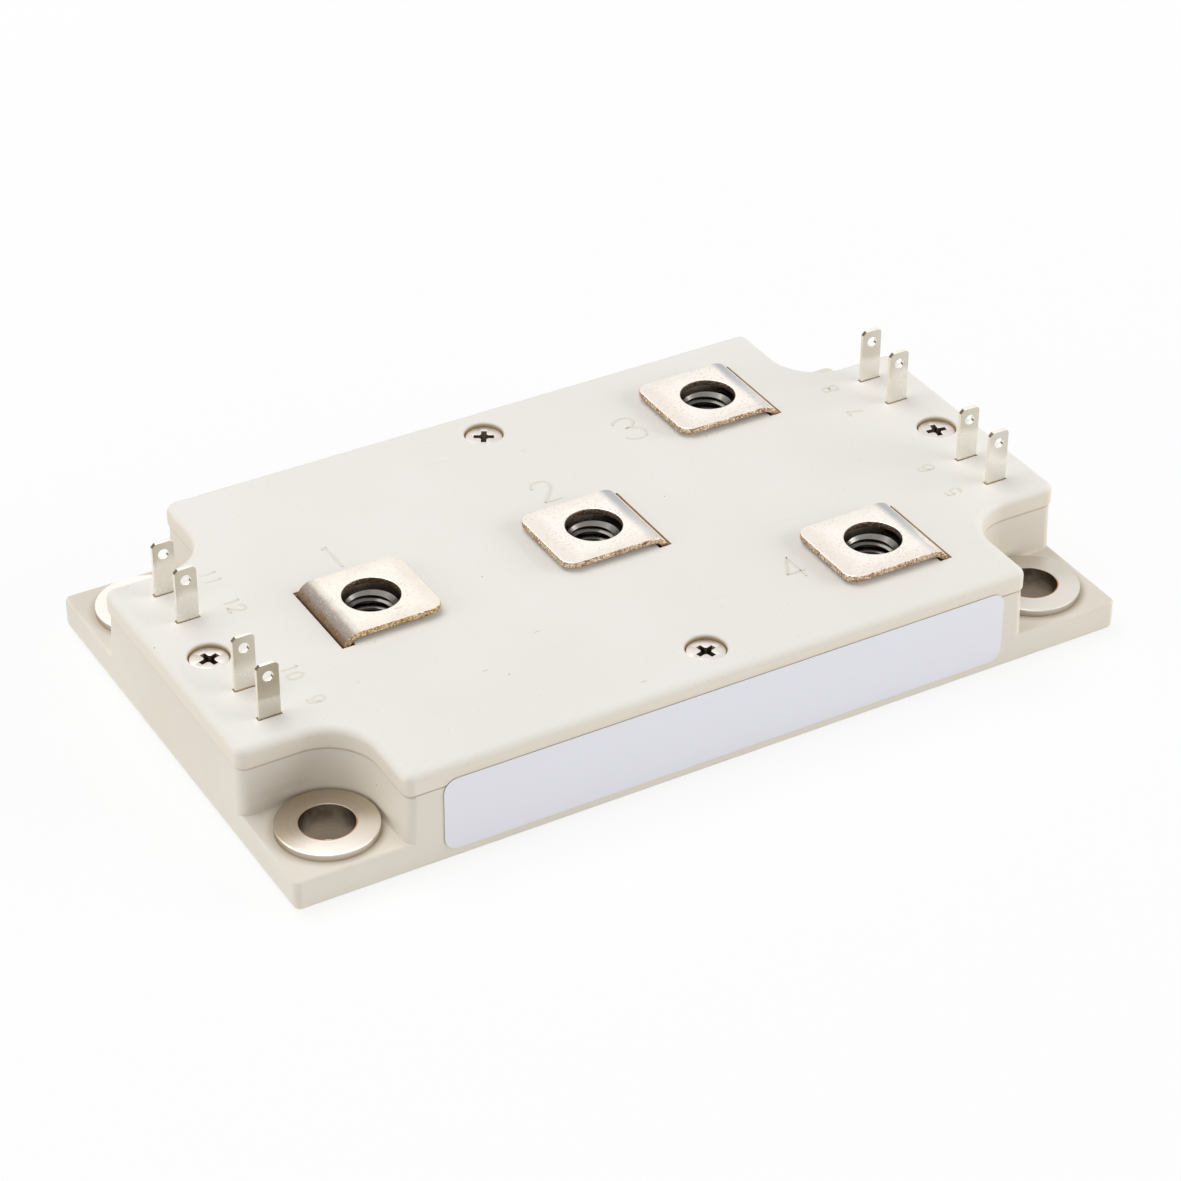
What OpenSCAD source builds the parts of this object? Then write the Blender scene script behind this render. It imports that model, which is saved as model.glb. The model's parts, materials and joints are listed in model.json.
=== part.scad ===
// Flat power semiconductor module: a moulded case and lid on a copper base plate, with four
// screw terminals on top, four signal tabs at each end and a bushed mounting hole in each corner.
// Origin at the middle of the underside, X along the module, Z up, all sizes in millimetres.

/* [Case] */
// Length of the module over its corner flanges
body_l = 107.8; // [104:0.1:116]
// Width of the module over its corner flanges
body_w = 62.2; // [61:0.1:70]
// Height of the corner flanges above the underside
flange_h = 4.05; // [3.8:0.05:6]
// Height of the seam between the case and the lid
case_h = 10.3; // [9.6:0.1:14]
// Thickness of the case walls
wall_t = 2.4; // [2:0.1:2.8]
// How far the walls at the ends and in the cut-outs stand in at the seam
seam_inset = 0.25; // [0.05:0.05:0.4]
// Radius of the upright edges of the footprint
flange_corner_r = 1.2; // [0.8:0.1:2]
// Radius along the top edge of the corner flanges
flange_edge_r = 0.4; // [0.2:0.05:0.6]
// How far the case stands above the underside of the base plate
base_proud = 0.1; // [0.05:0.05:0.3]

/* [Corner cut-outs] */
// Radius of the round cut-outs over the mounting bushes, wide enough for a washer
notch_r = 6.1; // [6.05:0.05:6.6]

/* [Lid] */
// Height of the lid from its seam to its top face
lid_h = 2.75; // [2.5:0.05:4]
// Thickness of the lid's top wall
lid_top_t = 2; // [1.8:0.1:2.3]
// Radius along the top edge of the lid
lid_edge_r = 1.1; // [0.6:0.1:1.1]
// Radius of the lid's upright outer corners
lid_corner_r = 1.2; // [1.15:0.05:2]
// How far the lip under the lid reaches into the case
lip_depth = 1.6; // [1:0.1:2.5]
// Thickness of the lip under the lid
lip_t = 1.2; // [0.8:0.1:1.5]
// Gap between the lip and the case wall
lip_gap = 0.15; // [0.1:0.05:0.3]

/* [Mounting bushes] */
// Distance of each bush from the end of the module
bush_inset_x = 7.4; // [7.2:0.05:7.5]
// Distance of each bush from the side of the module
bush_inset_y = 7.1; // [7:0.05:7.2]
// Bore of the bushes
bush_bore_d = 6.4; // [5.5:0.1:6.6]
// Outer diameter of the bush barrels
bush_barrel_d = 8.6; // [8:0.1:9.4]
// Diameter of the bush discs
bush_disc_d = 11.75; // [10.5:0.05:12]
// Thickness of the bush discs
bush_disc_t = 0.9; // [0.6:0.05:1.4]

/* [Base plate] */
// Thickness of the base plate
plate_t = 3; // [2:0.1:3.2]
// Width of the case rim around the base plate
plate_rim = 1; // [0.8:0.1:1.5]
// Radius of the base plate's corners
plate_corner_r = 2; // [1:0.1:3]

/* [Power terminals] */
// Length of the screw faces, from their free ends to the outside of their bends
terminal_l = 13.7; // [13:0.1:14.5]
// Length of the shorter screw face of terminal 1
terminal_1_l = 13.1; // [12.5:0.1:14]
// Distance from the screw holes to the outside of the bends
terminal_bend_x = 6.7; // [6.6:0.1:7]
// Width of each terminal
terminal_w = 12; // [11:0.1:13]
// Thickness of the terminal bar
terminal_t = 0.8; // [0.6:0.05:1.2]
// Clear height between the lid and the terminals
terminal_lift = 0.5; // [0.3:0.05:1]
// Diameter of the screw holes in the terminals
terminal_hole_d = 6.8; // [6.5:0.1:7.4]
// Inner radius of the terminals' bends
terminal_bend_r = 0.6; // [0.4:0.05:0.7]
// Radius of the terminals' free corners
terminal_corner_r = 1.7; // [0.5:0.1:3]
// Distance of terminal 1's screw hole from the left end
terminal_1_inset = 25.3; // [25:0.1:27]
// Offset of terminal 2's screw hole from the middle
terminal_2_x = 0.5; // [-1:0.1:1.5]
// Distance of the screw holes of terminals 3 and 4 from the right end
terminal_34_inset = 26.6; // [26.4:0.1:28]
// Distance of the screw holes of terminals 3 and 4 from the sides
terminal_side_inset = 12.7; // [12.5:0.1:13.5]

/* [Terminal nuts] */
// Width of the captive nuts across their flats
nut_af = 10; // [8:0.1:10]
// Height of the captive nuts
nut_h = 5; // [4:0.1:5]
// Bore of the captive nuts
nut_bore_d = 5.2; // [4:0.1:5.4]
// Depth of the nuts below the lid's top face
nut_recess = 0.2; // [0.1:0.05:0.4]

/* [Signal tabs] */
// Distance of the signal tabs from the ends of the module
tab_inset = 5.9; // [5:0.1:6.5]
// Distance of the inner tabs from the middle line
tab_inner_y = 7.55; // [6.5:0.05:8]
// Distance of the outer tabs from the walls of the cut-outs
tab_wall_inset = 4.3; // [4.1:0.1:5]
// Width of the tabs
tab_w = 2.65; // [2.2:0.05:2.9]
// Thickness of the tabs
tab_t = 0.5; // [0.4:0.05:0.8]
// Height of the tabs above the lid
tab_rise = 6.95; // [5:0.05:9]
// Diameter of the hole in each tab
tab_hole_d = 1.3; // [1:0.1:1.6]

/* [Lid screws] */
// Distance of the end screws from the ends of the module
screw_inset_x = 5; // [4.8:0.1:5.4]
// Distance of the side screws from the sides of the module
screw_inset_y = 5.1; // [4.8:0.1:5.4]
// Diameter of the screw heads
screw_head_d = 4.6; // [4.2:0.1:5]
// Diameter of the screw threads
screw_d = 2.5; // [2:0.1:2.6]
// Length of the screws
screw_l = 8; // [6:0.1:8.4]
// Depth of the screw heads below the lid's top face
screw_recess = 0.35; // [0.2:0.05:0.6]

/* [Label] */
// Distance of the label from the left edge of the long side wall
label_left = 4.45; // [2:0.05:10]
// Distance of the label from the right edge of the long side wall
label_right = 3.15; // [2:0.05:10]
// Height of the label's lower edge above the underside
label_z = 1.55; // [1:0.05:2]
// Distance of the label's upper edge from the lid's top face
label_drop = 2.05; // [1.9:0.05:2.6]
// Radius of the label's corners
label_r = 1.7; // [0.5:0.1:3]
// Thickness of the label
label_t = 0.1; // [0.05:0.01:0.2]

/* [Circuit] */
// Gap between the substrates and the walls of the cut-outs
substrate_margin = 1.5; // [1.2:0.1:1.8]
// Gap between the substrates and the screw bosses beside them
substrate_boss_gap = 0.8; // [0.5:0.1:1]
// Gap between the two substrates
substrate_gap = 2; // [1:0.1:3]
// Thickness of the ceramic
ceramic_t = 0.4; // [0.3:0.05:0.6]
// Thickness of the copper on each face of the ceramic
copper_t = 0.3; // [0.2:0.05:0.35]
// Half width of the middle copper track
track_half_w = 7.8; // [7.5:0.1:8]
// Gap between copper tracks, and between the copper and the ceramic's edge
track_gap = 1; // [0.8:0.1:1.4]
// Size of the square transistor chips
chip_size = 8.6; // [8:0.1:8.8]
// Size of the square diode chips
diode_size = 6; // [5:0.1:6.5]
// Thickness of the chips
chip_t = 0.2; // [0.15:0.05:0.3]
// Diameter of the bond wires
wire_d = 0.35; // [0.25:0.05:0.4]
// Height of the soft fill above the substrates
fill_h = 2.6; // [2.2:0.1:2.7]

/* [Hidden] */

$fn = 48;

// Colours
case_colour = "#d9d2c4";
lid_colour = "#e9e6df";
plated_colour = "#cfc6b8";
steel_colour = "#8d8a86";
copper_colour = "#b87333";

// Clearances and small features
cut_over = 1;           // how far cuts run past the face they open
fit_gap = 0.1;          // moulded seats of metal pieces
plate_gap = 0.2;        // around the bushes in the base plate
slot_gap = 0.2;         // around the terminals and tabs where they pass the lid
slot_end_gap = 0.3;     // at both ends of those slots
nut_gap = 0.1;          // around the nuts in their wells
well_wall = 0.6;        // wall and floor of the nut wells
well_relief = 1.2;      // room for a bolt's tip under the nut
relief_gap = 1;         // around that tip
lead_chamfer = 0.3;     // soft edges of the bushes and nuts
boss_r = 3;             // screw bosses in the case
boss_gap = 0.3;         // between the bosses and the lid's lip
screw_rim = 0.15;       // straight rim of the screw heads
head_gap = 0.2;         // around the screw heads
cross_l = 2.6;          // crossed recess of the screws
cross_w = 0.7;
cross_depth = 0.9;
tip_chamfer = 0.6;      // cut tips of the screws
thread_bite = 0.25;     // how far the screws cut into their bosses
pilot_spare = 0.3;      // pilot holes below the screws' tips
ledge_h = 3.8;          // moulded ledge at each end that carries the feet of the tabs
ledge_l = 7.2;          // its reach from the end wall
tab_foot_l = 2.2;       // foot of each tab on its ledge
tab_hole_drop = 1.9;    // height of each tab above the middle of its hole
tab_chamfer = 0.5;      // cut corners of the tabs
terminal_foot_l = 3;    // foot of each terminal on its copper
terminal_leg_w = 5;     // the narrow leg inside the case
shoulder_drop = 1;      // wide part of each leg below the lid's top wall
chip_gap = 1;           // between the chips, and from the first chip to the copper's edge
wire_span_r = 1.5;      // half the span of each bond wire
wire_inset = 0.7;       // foot of each wire in from the chip's edge

// Heights
lid_top_z = case_h + lid_h;
terminal_top_z = lid_top_z + terminal_lift + terminal_t;
nut_top_z = lid_top_z - nut_recess;
tab_top_z = lid_top_z + tab_rise;
screw_top_z = lid_top_z - screw_recess;
copper_top_z = plate_t + 2 * copper_t + ceramic_t;
well_depth = nut_recess + nut_h + well_relief + well_wall;

// Half sizes of the plan, out to its ends and sides
end_x = body_l / 2;
side_y = body_w / 2;

// Places of the bushes, and the cut-out walls that wrap around them
bush_x = end_x - bush_inset_x;
bush_y = side_y - bush_inset_y;
notch_wall_x = bush_x - notch_r;
notch_wall_y = bush_y - notch_r;

// Half sizes of the space inside the case
cavity_x = notch_wall_x - wall_t;
cavity_y = side_y - wall_t;
cavity_end_x = end_x - wall_t;
cavity_end_y = notch_wall_y - wall_t;
// Lean of the end and cut-out walls for each millimetre of height
wall_lean = seam_inset / (case_h - flange_h);

// Places of the other repeated pieces
tab_x = end_x - tab_inset;
screw_x = end_x - screw_inset_x;
screw_y = side_y - screw_inset_y;
screw_places = [[0, -screw_y], [0, screw_y], [-screw_x, 0], [screw_x, 0]];
terminal_places = [
    [terminal_1_inset - end_x, 0],
    [terminal_2_x, 0],
    [end_x - terminal_34_inset, side_y - terminal_side_inset],
    [end_x - terminal_34_inset, terminal_side_inset - side_y]
];
// Side of the hole on which each terminal bends down
terminal_sides = [-1, 1, 1, 1];
// Rows of tabs from front to back: 5 to 8 at the right end, 9, 10, 12 and 11 at the left end
tab_outer_y = notch_wall_y - tab_wall_inset;
tab_rows = [-tab_outer_y, -tab_inner_y, tab_inner_y, tab_outer_y];

// Screws: the shank cuts its thread into the boss, and the cone seats in the lid
thread_r = screw_d / 2 - thread_bite;
screw_neck_r = screw_d / 2 - thread_bite / 2;
screw_cone_h = screw_head_d / 2 - screw_neck_r;

// Circuit: two substrates side by side, and the copper on them
substrate_l = cavity_x - substrate_margin - substrate_gap / 2;
substrate_w = 2 * (screw_y - boss_r - substrate_boss_gap);
substrate_x = (substrate_gap + substrate_l) / 2;
outer_track_y = substrate_w / 2 - track_gap;
inner_track_y = track_half_w + track_gap;
chip_y = inner_track_y + chip_gap / 2;

// Outlines and edges

module rounded_rect(l, w, r) {
    square([l - 2 * r, w], center = true);
    square([l, w - 2 * r], center = true);
    for (x = [-1, 1], y = [-1, 1])
        translate([x * (l / 2 - r), y * (w / 2 - r)])
            circle(r);
}

module in_each_quarter() {
    for (mx = [0, 1], my = [0, 1])
        mirror([mx, 0, 0])
            mirror([0, my, 0])
                children();
}

// Plan of the upper body and the lid, with its round cut-outs and soft outer corners
module notched_plan(corner_r) {
    rounded_rect(2 * notch_wall_x, body_w, corner_r);
    rounded_rect(body_l, 2 * notch_wall_y, corner_r);
    in_each_quarter()
        difference() {
            translate([notch_wall_x - corner_r, notch_wall_y - corner_r])
                square(notch_r + corner_r);
            translate([bush_x, bush_y])
                circle(notch_r);
        }
}

// Waste outside a rounded edge, with the sharp edge at the origin
module edge_waste(r) {
    translate([-r, -r])
        difference() {
            square(r + cut_over);
            circle(r);
        }
}

// Cut that rounds a straight edge, which runs along +X with its material towards -Y
module straight_edge(length, r) {
    rotate([90, 0, 90])
        linear_extrude(length)
            edge_waste(r);
}

// Cut that rounds the edge of an outer corner
module corner_edge(corner_r, r) {
    rotate_extrude(angle = 90)
        translate([corner_r, 0])
            edge_waste(r);
}

// Inside of the case as a plan, drawn in by gap, with walls that follow the round cut-outs
module cavity_plan(gap) {
    r = notch_r + wall_t + gap;
    difference() {
        square([2 * (cavity_end_x - gap), 2 * (cavity_y - gap)], center = true);
        in_each_quarter()
            translate([bush_x, bush_y]) {
                circle(r);
                translate([-r, 0])
                    square([2 * r, r]);
                translate([0, -r])
                    square([r, 2 * r]);
            }
    }
}

module at_corners() {
    in_each_quarter()
        translate([bush_x, bush_y, 0])
            children();
}

module at_screws() {
    for (p = screw_places)
        translate([p[0], p[1], 0])
            children();
}

// Case

// Rounds the top edge of each corner flange, between the walls of the cut-out
module flange_edge_cuts() {
    arc_x = end_x - flange_corner_r;
    arc_y = side_y - flange_corner_r;
    in_each_quarter() {
        translate([notch_wall_x, side_y, flange_h])
            straight_edge(arc_x - notch_wall_x, flange_edge_r);
        translate([end_x, arc_y, flange_h])
            rotate([0, 0, -90])
                straight_edge(arc_y - notch_wall_y, flange_edge_r);
        translate([arc_x, arc_y, flange_h])
            corner_edge(flange_corner_r, flange_edge_r);
    }
}

// Room over a flange, which widens on its way up because its walls lean in
module cut_out_room() {
    h = case_h - flange_h + cut_over;
    wide_r = notch_r + wall_lean * h;
    side_l = bush_inset_y + cut_over;
    end_l = bush_inset_x + cut_over;
    profile = [[0, 0], [notch_r, 0], [wide_r, h], [0, h]];
    translate([bush_x, bush_y, flange_h]) {
        cylinder(h = h, r1 = notch_r, r2 = wide_r);
        rotate([90, 0, 180])
            linear_extrude(side_l)
                polygon(profile);
        translate([end_l, 0, 0])
            rotate([90, 0, -90])
                linear_extrude(end_l)
                    polygon(profile);
    }
}

// Waste outside the leaning wall at one end
module end_waste() {
    h = case_h - flange_h + cut_over;
    translate([end_x, 0, flange_h])
        rotate([90, 0, 0])
            linear_extrude(body_w, center = true)
                polygon([[0, 0], [cut_over, 0], [cut_over, h], [-wall_lean * h, h]]);
}

// Outer form: a low slab with four corner flanges, and the taller notched body
module case_outside() {
    difference() {
        translate([0, 0, base_proud])
            linear_extrude(flange_h - base_proud)
                rounded_rect(body_l, body_w, flange_corner_r);
        flange_edge_cuts();
    }
    difference() {
        translate([0, 0, base_proud])
            linear_extrude(case_h - base_proud)
                notched_plan(flange_corner_r);
        in_each_quarter()
            cut_out_room();
        for (m = [0, 1])
            mirror([m, 0, 0])
                end_waste();
    }
}

// Round screw boss with a web towards +X that runs half way into the wall
module screw_boss(inset) {
    h = case_h - plate_t;
    cylinder(h = h, r = boss_r);
    translate([0, -boss_r, 0])
        cube([inset - wall_t / 2, 2 * boss_r, h]);
}

module case_bosses() {
    for (a = [90, 270])
        rotate([0, 0, a])
            translate([screw_y, 0, plate_t])
                screw_boss(screw_inset_y);
    for (a = [0, 180])
        rotate([0, 0, a])
            translate([screw_x, 0, plate_t])
                screw_boss(screw_inset_x);
}

// Ledges at both ends, let into the walls around them
module end_ledges() {
    l = ledge_l + wall_t / 2;
    w = 2 * cavity_end_y + wall_t;
    for (s = [-1, 1])
        translate([s * (cavity_end_x - ledge_l + l / 2), 0, plate_t + ledge_h / 2])
            cube([l, w, ledge_h], center = true);
}

module case() {
    color(case_colour)
        difference() {
            union() {
                difference() {
                    case_outside();
                    translate([0, 0, plate_t])
                        linear_extrude(case_h)
                            cavity_plan(0);
                }
                case_bosses();
                end_ledges();
            }
            linear_extrude(plate_t)
                rounded_rect(body_l - 2 * plate_rim, body_w - 2 * plate_rim, plate_corner_r);
            at_corners()
                cylinder(h = flange_h + cut_over, d = bush_barrel_d + fit_gap);
            at_screws()
                translate([0, 0, screw_top_z - screw_l - pilot_spare])
                    cylinder(h = screw_l, r = thread_r);
        }
}

// Lid

// Hexagon with the given width across its flats, with flats that face along X
module hexagon(af) {
    rotate(30)
        circle(d = af / cos(30), $fn = 6);
}

module at_terminals() {
    for (p = terminal_places)
        translate([p[0], p[1], 0])
            children();
}

// Hexagonal wells that hang from the lid and carry the nuts
module nut_wells() {
    at_terminals()
        translate([0, 0, lid_top_z - well_depth])
            linear_extrude(well_depth - lid_top_t / 2)
                hexagon(nut_af + 2 * (nut_gap + well_wall));
}

module nut_pockets() {
    at_terminals() {
        translate([0, 0, nut_top_z - nut_h])
            linear_extrude(nut_h + cut_over)
                hexagon(nut_af + 2 * nut_gap);
        translate([0, 0, nut_top_z - nut_h - well_relief])
            cylinder(h = well_relief + cut_over, d = nut_bore_d + 2 * relief_gap);
    }
}

module terminal_slots() {
    l = terminal_t + 2 * slot_gap;
    w = terminal_w + 2 * slot_end_gap;
    for (i = [0 : 3])
        translate([
            terminal_places[i][0] + terminal_sides[i] * (terminal_bend_x - terminal_t / 2),
            terminal_places[i][1],
            lid_top_z
        ])
            cube([l, w, 2 * well_depth], center = true);
}

module tab_slots() {
    l = tab_w + 2 * slot_end_gap;
    w = tab_t + 2 * slot_gap;
    for (s = [-1, 1], y = tab_rows)
        translate([s * tab_x, y, lid_top_z])
            cube([l, w, 2 * (lid_h + lip_depth + cut_over)], center = true);
}

// Rounds the lid's top edge: its sides and ends, then the walls of each cut-out
module lid_edge_cuts() {
    r = lid_edge_r;
    c = lid_corner_r;
    half_l = notch_wall_x - c;
    half_w = notch_wall_y - c;
    for (m = [0, 1]) {
        mirror([0, m, 0])
            translate([-half_l, side_y, 0])
                straight_edge(2 * half_l, r);
        mirror([m, 0, 0])
            translate([end_x, half_w, 0])
                rotate([0, 0, -90])
                    straight_edge(2 * half_w, r);
    }
    in_each_quarter() {
        translate([half_l, side_y - c, 0])
            corner_edge(c, r);
        translate([notch_wall_x, side_y - c, 0])
            rotate([0, 0, -90])
                straight_edge(side_y - c - bush_y, r);
        translate([bush_x, bush_y, 0])
            rotate([0, 0, 180])
                rotate_extrude(angle = 90)
                    translate([notch_r, 0])
                        mirror([1, 0])
                            edge_waste(r);
        translate([bush_x, notch_wall_y, 0])
            straight_edge(end_x - c - bush_x, r);
        translate([end_x - c, half_w, 0])
            corner_edge(c, r);
    }
}

module lid_outside() {
    difference() {
        translate([0, 0, case_h])
            linear_extrude(lid_h)
                notched_plan(lid_corner_r);
        translate([0, 0, lid_top_z])
            lid_edge_cuts();
    }
}

// Ring that reaches down inside the case walls, open where the screw bosses stand
module lid_lip() {
    bottom = case_h - lip_depth;
    opening = 2 * (boss_r + boss_gap);
    difference() {
        translate([0, 0, bottom])
            linear_extrude(lip_depth + lid_h - lid_top_t / 2)
                difference() {
                    cavity_plan(lip_gap);
                    cavity_plan(lip_gap + lip_t);
                }
        translate([0, 0, case_h - lip_depth / 2]) {
            cube([opening, body_w, lip_depth + fit_gap], center = true);
            cube([body_l, opening, lip_depth + fit_gap], center = true);
        }
    }
}

// Holes for the screws, with countersinks that their heads fill
module screw_holes() {
    at_screws() {
        translate([0, 0, case_h - cut_over])
            cylinder(h = lid_h + 2 * cut_over, r = screw_d / 2 + fit_gap);
        translate([0, 0, screw_top_z - screw_rim])
            cylinder(h = screw_rim + cut_over, r = screw_head_d / 2 + head_gap);
        translate([0, 0, screw_top_z - screw_rim - screw_cone_h])
            cylinder(h = screw_cone_h, r1 = screw_neck_r, r2 = screw_head_d / 2);
    }
}

module lid() {
    color(lid_colour)
        difference() {
            union() {
                difference() {
                    lid_outside();
                    translate([0, 0, case_h - cut_over])
                        linear_extrude(lid_h - lid_top_t + cut_over)
                            cavity_plan(0);
                }
                lid_lip();
                at_screws()
                    translate([0, 0, case_h])
                        cylinder(h = lid_h - lid_top_t / 2, r = boss_r);
                nut_wells();
            }
            nut_pockets();
            terminal_slots();
            tab_slots();
            screw_holes();
        }
}

// Base plate, label and bushes

module base_plate() {
    gap = plate_rim + fit_gap;
    color(plated_colour)
        difference() {
            linear_extrude(plate_t)
                rounded_rect(body_l - 2 * gap, body_w - 2 * gap, plate_corner_r - fit_gap);
            at_corners()
                translate([0, 0, -cut_over])
                    cylinder(h = plate_t + 2 * cut_over, d = bush_barrel_d + 2 * plate_gap);
        }
}

module label() {
    l = 2 * notch_wall_x - label_left - label_right;
    h = lid_top_z - label_drop - label_z;
    color("#dddde6")
        translate([(label_left - label_right) / 2, -side_y, label_z + h / 2])
            rotate([90, 0, 0])
                linear_extrude(label_t)
                    rounded_rect(l, h, label_r);
}

module bush() {
    bore_r = bush_bore_d / 2;
    disc_r = bush_disc_d / 2;
    barrel_r = bush_barrel_d / 2;
    top = flange_h + bush_disc_t;
    c = lead_chamfer;
    color(plated_colour)
        rotate_extrude()
            polygon([
                [bore_r, 0], [barrel_r, 0], [barrel_r, flange_h], [disc_r, flange_h],
                [disc_r, top - c / 2], [disc_r - c / 2, top], [bore_r + c, top], [bore_r, top - c]
            ]);
}

module bush_front_left() { translate([-bush_x, -bush_y, 0]) bush(); }
module bush_front_right() { translate([bush_x, -bush_y, 0]) bush(); }
module bush_back_left() { translate([-bush_x, bush_y, 0]) bush(); }
module bush_back_right() { translate([bush_x, bush_y, 0]) bush(); }

// Power terminals

// Quarter of a pipe around Y that turns a flat bar by a right angle
module bend(inner_r, width) {
    intersection() {
        rotate([90, 0, 0])
            difference() {
                cylinder(h = width, r = inner_r + terminal_t, center = true);
                cylinder(h = width + cut_over, r = inner_r, center = true);
            }
        translate([0, -width, 0])
            cube([inner_r + terminal_t, 2 * width, inner_r + terminal_t]);
    }
}

// One terminal with its hole over the origin, bent down towards +X
module terminal(face_l) {
    bend_r = terminal_bend_r + terminal_t;
    top = terminal_top_z;
    shoulder_z = lid_top_z - lid_top_t - shoulder_drop;
    foot_z = copper_top_z;
    leg_x = terminal_bend_x - terminal_t;
    free_x = terminal_bend_x - face_l;
    color(plated_colour) {
        // screw face
        translate([0, 0, top - terminal_t])
            linear_extrude(terminal_t)
                difference() {
                    union() {
                        translate([free_x + terminal_w / 2, 0])
                            rounded_rect(terminal_w, terminal_w, terminal_corner_r);
                        translate([free_x + terminal_w / 2, -terminal_w / 2])
                            square([face_l - terminal_w / 2 - bend_r, terminal_w]);
                    }
                    circle(d = terminal_hole_d);
                }
        // bend and wide leg through the lid
        translate([terminal_bend_x - bend_r, 0, top - bend_r])
            bend(terminal_bend_r, terminal_w);
        translate([leg_x, -terminal_w / 2, shoulder_z])
            cube([terminal_t, terminal_w, top - bend_r - shoulder_z]);
        // narrow leg and its soldered foot
        translate([leg_x, -terminal_leg_w / 2, foot_z + bend_r])
            cube([terminal_t, terminal_leg_w, shoulder_z - foot_z - bend_r]);
        translate([terminal_bend_x - bend_r, 0, foot_z + bend_r])
            mirror([0, 0, 1])
                bend(terminal_bend_r, terminal_leg_w);
        translate([terminal_bend_x - bend_r - terminal_foot_l, -terminal_leg_w / 2, foot_z])
            cube([terminal_foot_l, terminal_leg_w, terminal_t]);
    }
}

module placed_terminal(i) {
    translate([terminal_places[i][0], terminal_places[i][1], 0])
        rotate([0, 0, terminal_sides[i] > 0 ? 0 : 180])
            terminal(i == 0 ? terminal_1_l : terminal_l);
}

module power_terminal_1() { placed_terminal(0); }
module power_terminal_2() { placed_terminal(1); }
module power_terminal_3() { placed_terminal(2); }
module power_terminal_4() { placed_terminal(3); }

// Captive nuts

// Hexagonal nut with turned corners and a countersunk bore
module nut(i) {
    corner_r = nut_af / cos(30) / 2;
    face_r = nut_af / 2 - fit_gap;
    drop = (corner_r - face_r) / 2;
    color(steel_colour)
        translate([terminal_places[i][0], terminal_places[i][1], nut_top_z - nut_h])
            difference() {
                intersection() {
                    linear_extrude(nut_h)
                        hexagon(nut_af);
                    rotate_extrude()
                        polygon([
                            [0, 0], [face_r, 0], [corner_r, drop],
                            [corner_r, nut_h - drop], [face_r, nut_h], [0, nut_h]
                        ]);
                }
                translate([0, 0, -cut_over])
                    cylinder(h = nut_h + 2 * cut_over, d = nut_bore_d);
                translate([0, 0, nut_h - lead_chamfer])
                    cylinder(h = lead_chamfer, d1 = nut_bore_d, d2 = nut_bore_d + 2 * lead_chamfer);
            }
}

module terminal_nut_1() { nut(0); }
module terminal_nut_2() { nut(1); }
module terminal_nut_3() { nut(2); }
module terminal_nut_4() { nut(3); }

// Signal tabs

// One blade with chamfered top corners, a hole, and a foot folded towards +Y
module tab() {
    foot_z = plate_t + ledge_h;
    rise = tab_top_z - foot_z;
    w = tab_w / 2;
    c = tab_chamfer;
    color(plated_colour) {
        translate([0, tab_t / 2, foot_z])
            rotate([90, 0, 0])
                linear_extrude(tab_t)
                    difference() {
                        polygon([
                            [-w, 0], [w, 0], [w, rise - c], [w - c, rise],
                            [c - w, rise], [-w, rise - c]
                        ]);
                        translate([0, rise - tab_hole_drop])
                            circle(d = tab_hole_d);
                    }
        translate([-w, tab_t / 2, foot_z])
            cube([tab_w, tab_foot_l, tab_t]);
    }
}

module placed_tab(side, row) {
    y = tab_rows[row];
    translate([side * tab_x, y, 0])
        rotate([0, 0, y > 0 ? 180 : 0])
            tab();
}

module signal_tab_5() { placed_tab(1, 0); }
module signal_tab_6() { placed_tab(1, 1); }
module signal_tab_7() { placed_tab(1, 2); }
module signal_tab_8() { placed_tab(1, 3); }
module signal_tab_9() { placed_tab(-1, 0); }
module signal_tab_10() { placed_tab(-1, 1); }
module signal_tab_11() { placed_tab(-1, 3); }
module signal_tab_12() { placed_tab(-1, 2); }

// Lid screws

// Countersunk screw with a crossed slot and a plain shank
module lid_screw(i) {
    head_r = screw_head_d / 2;
    seam = case_h - screw_top_z;
    color(steel_colour)
        translate([screw_places[i][0], screw_places[i][1], screw_top_z])
            difference() {
                rotate_extrude()
                    polygon([
                        [0, 0], [head_r, 0], [head_r, -screw_rim],
                        [screw_neck_r, -screw_rim - screw_cone_h], [screw_neck_r, seam],
                        [thread_r, seam], [thread_r, tip_chamfer - screw_l],
                        [thread_r - tip_chamfer, -screw_l], [0, -screw_l]
                    ]);
                for (a = [45, 135])
                    rotate([0, 0, a])
                        cube([cross_l, cross_w, 2 * cross_depth], center = true);
            }
}

module lid_screw_front() { lid_screw(0); }
module lid_screw_back() { lid_screw(1); }
module lid_screw_left() { lid_screw(2); }
module lid_screw_right() { lid_screw(3); }

// Circuit on the base plate

module ceramic(side) {
    color("#f2f2ee")
        translate([side * substrate_x, 0, plate_t + copper_t + ceramic_t / 2])
            cube([substrate_l, substrate_w, ceramic_t], center = true);
}

module substrate_left() { ceramic(-1); }
module substrate_right() { ceramic(1); }

// Sheet under the ceramic, and three tracks on top of it
module copper(side) {
    l = substrate_l - 2 * track_gap;
    outer_w = outer_track_y - inner_track_y;
    color(copper_colour)
        translate([side * substrate_x, 0, 0]) {
            translate([0, 0, plate_t + copper_t / 2])
                cube([l, 2 * outer_track_y, copper_t], center = true);
            for (track = [[0, 2 * track_half_w], [-1, outer_w], [1, outer_w]])
                translate([0, track[0] * (inner_track_y + outer_w / 2), copper_top_z - copper_t / 2])
                    cube([l, track[1], copper_t], center = true);
        }
}

module copper_left() { copper(-1); }
module copper_right() { copper(1); }

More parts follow.
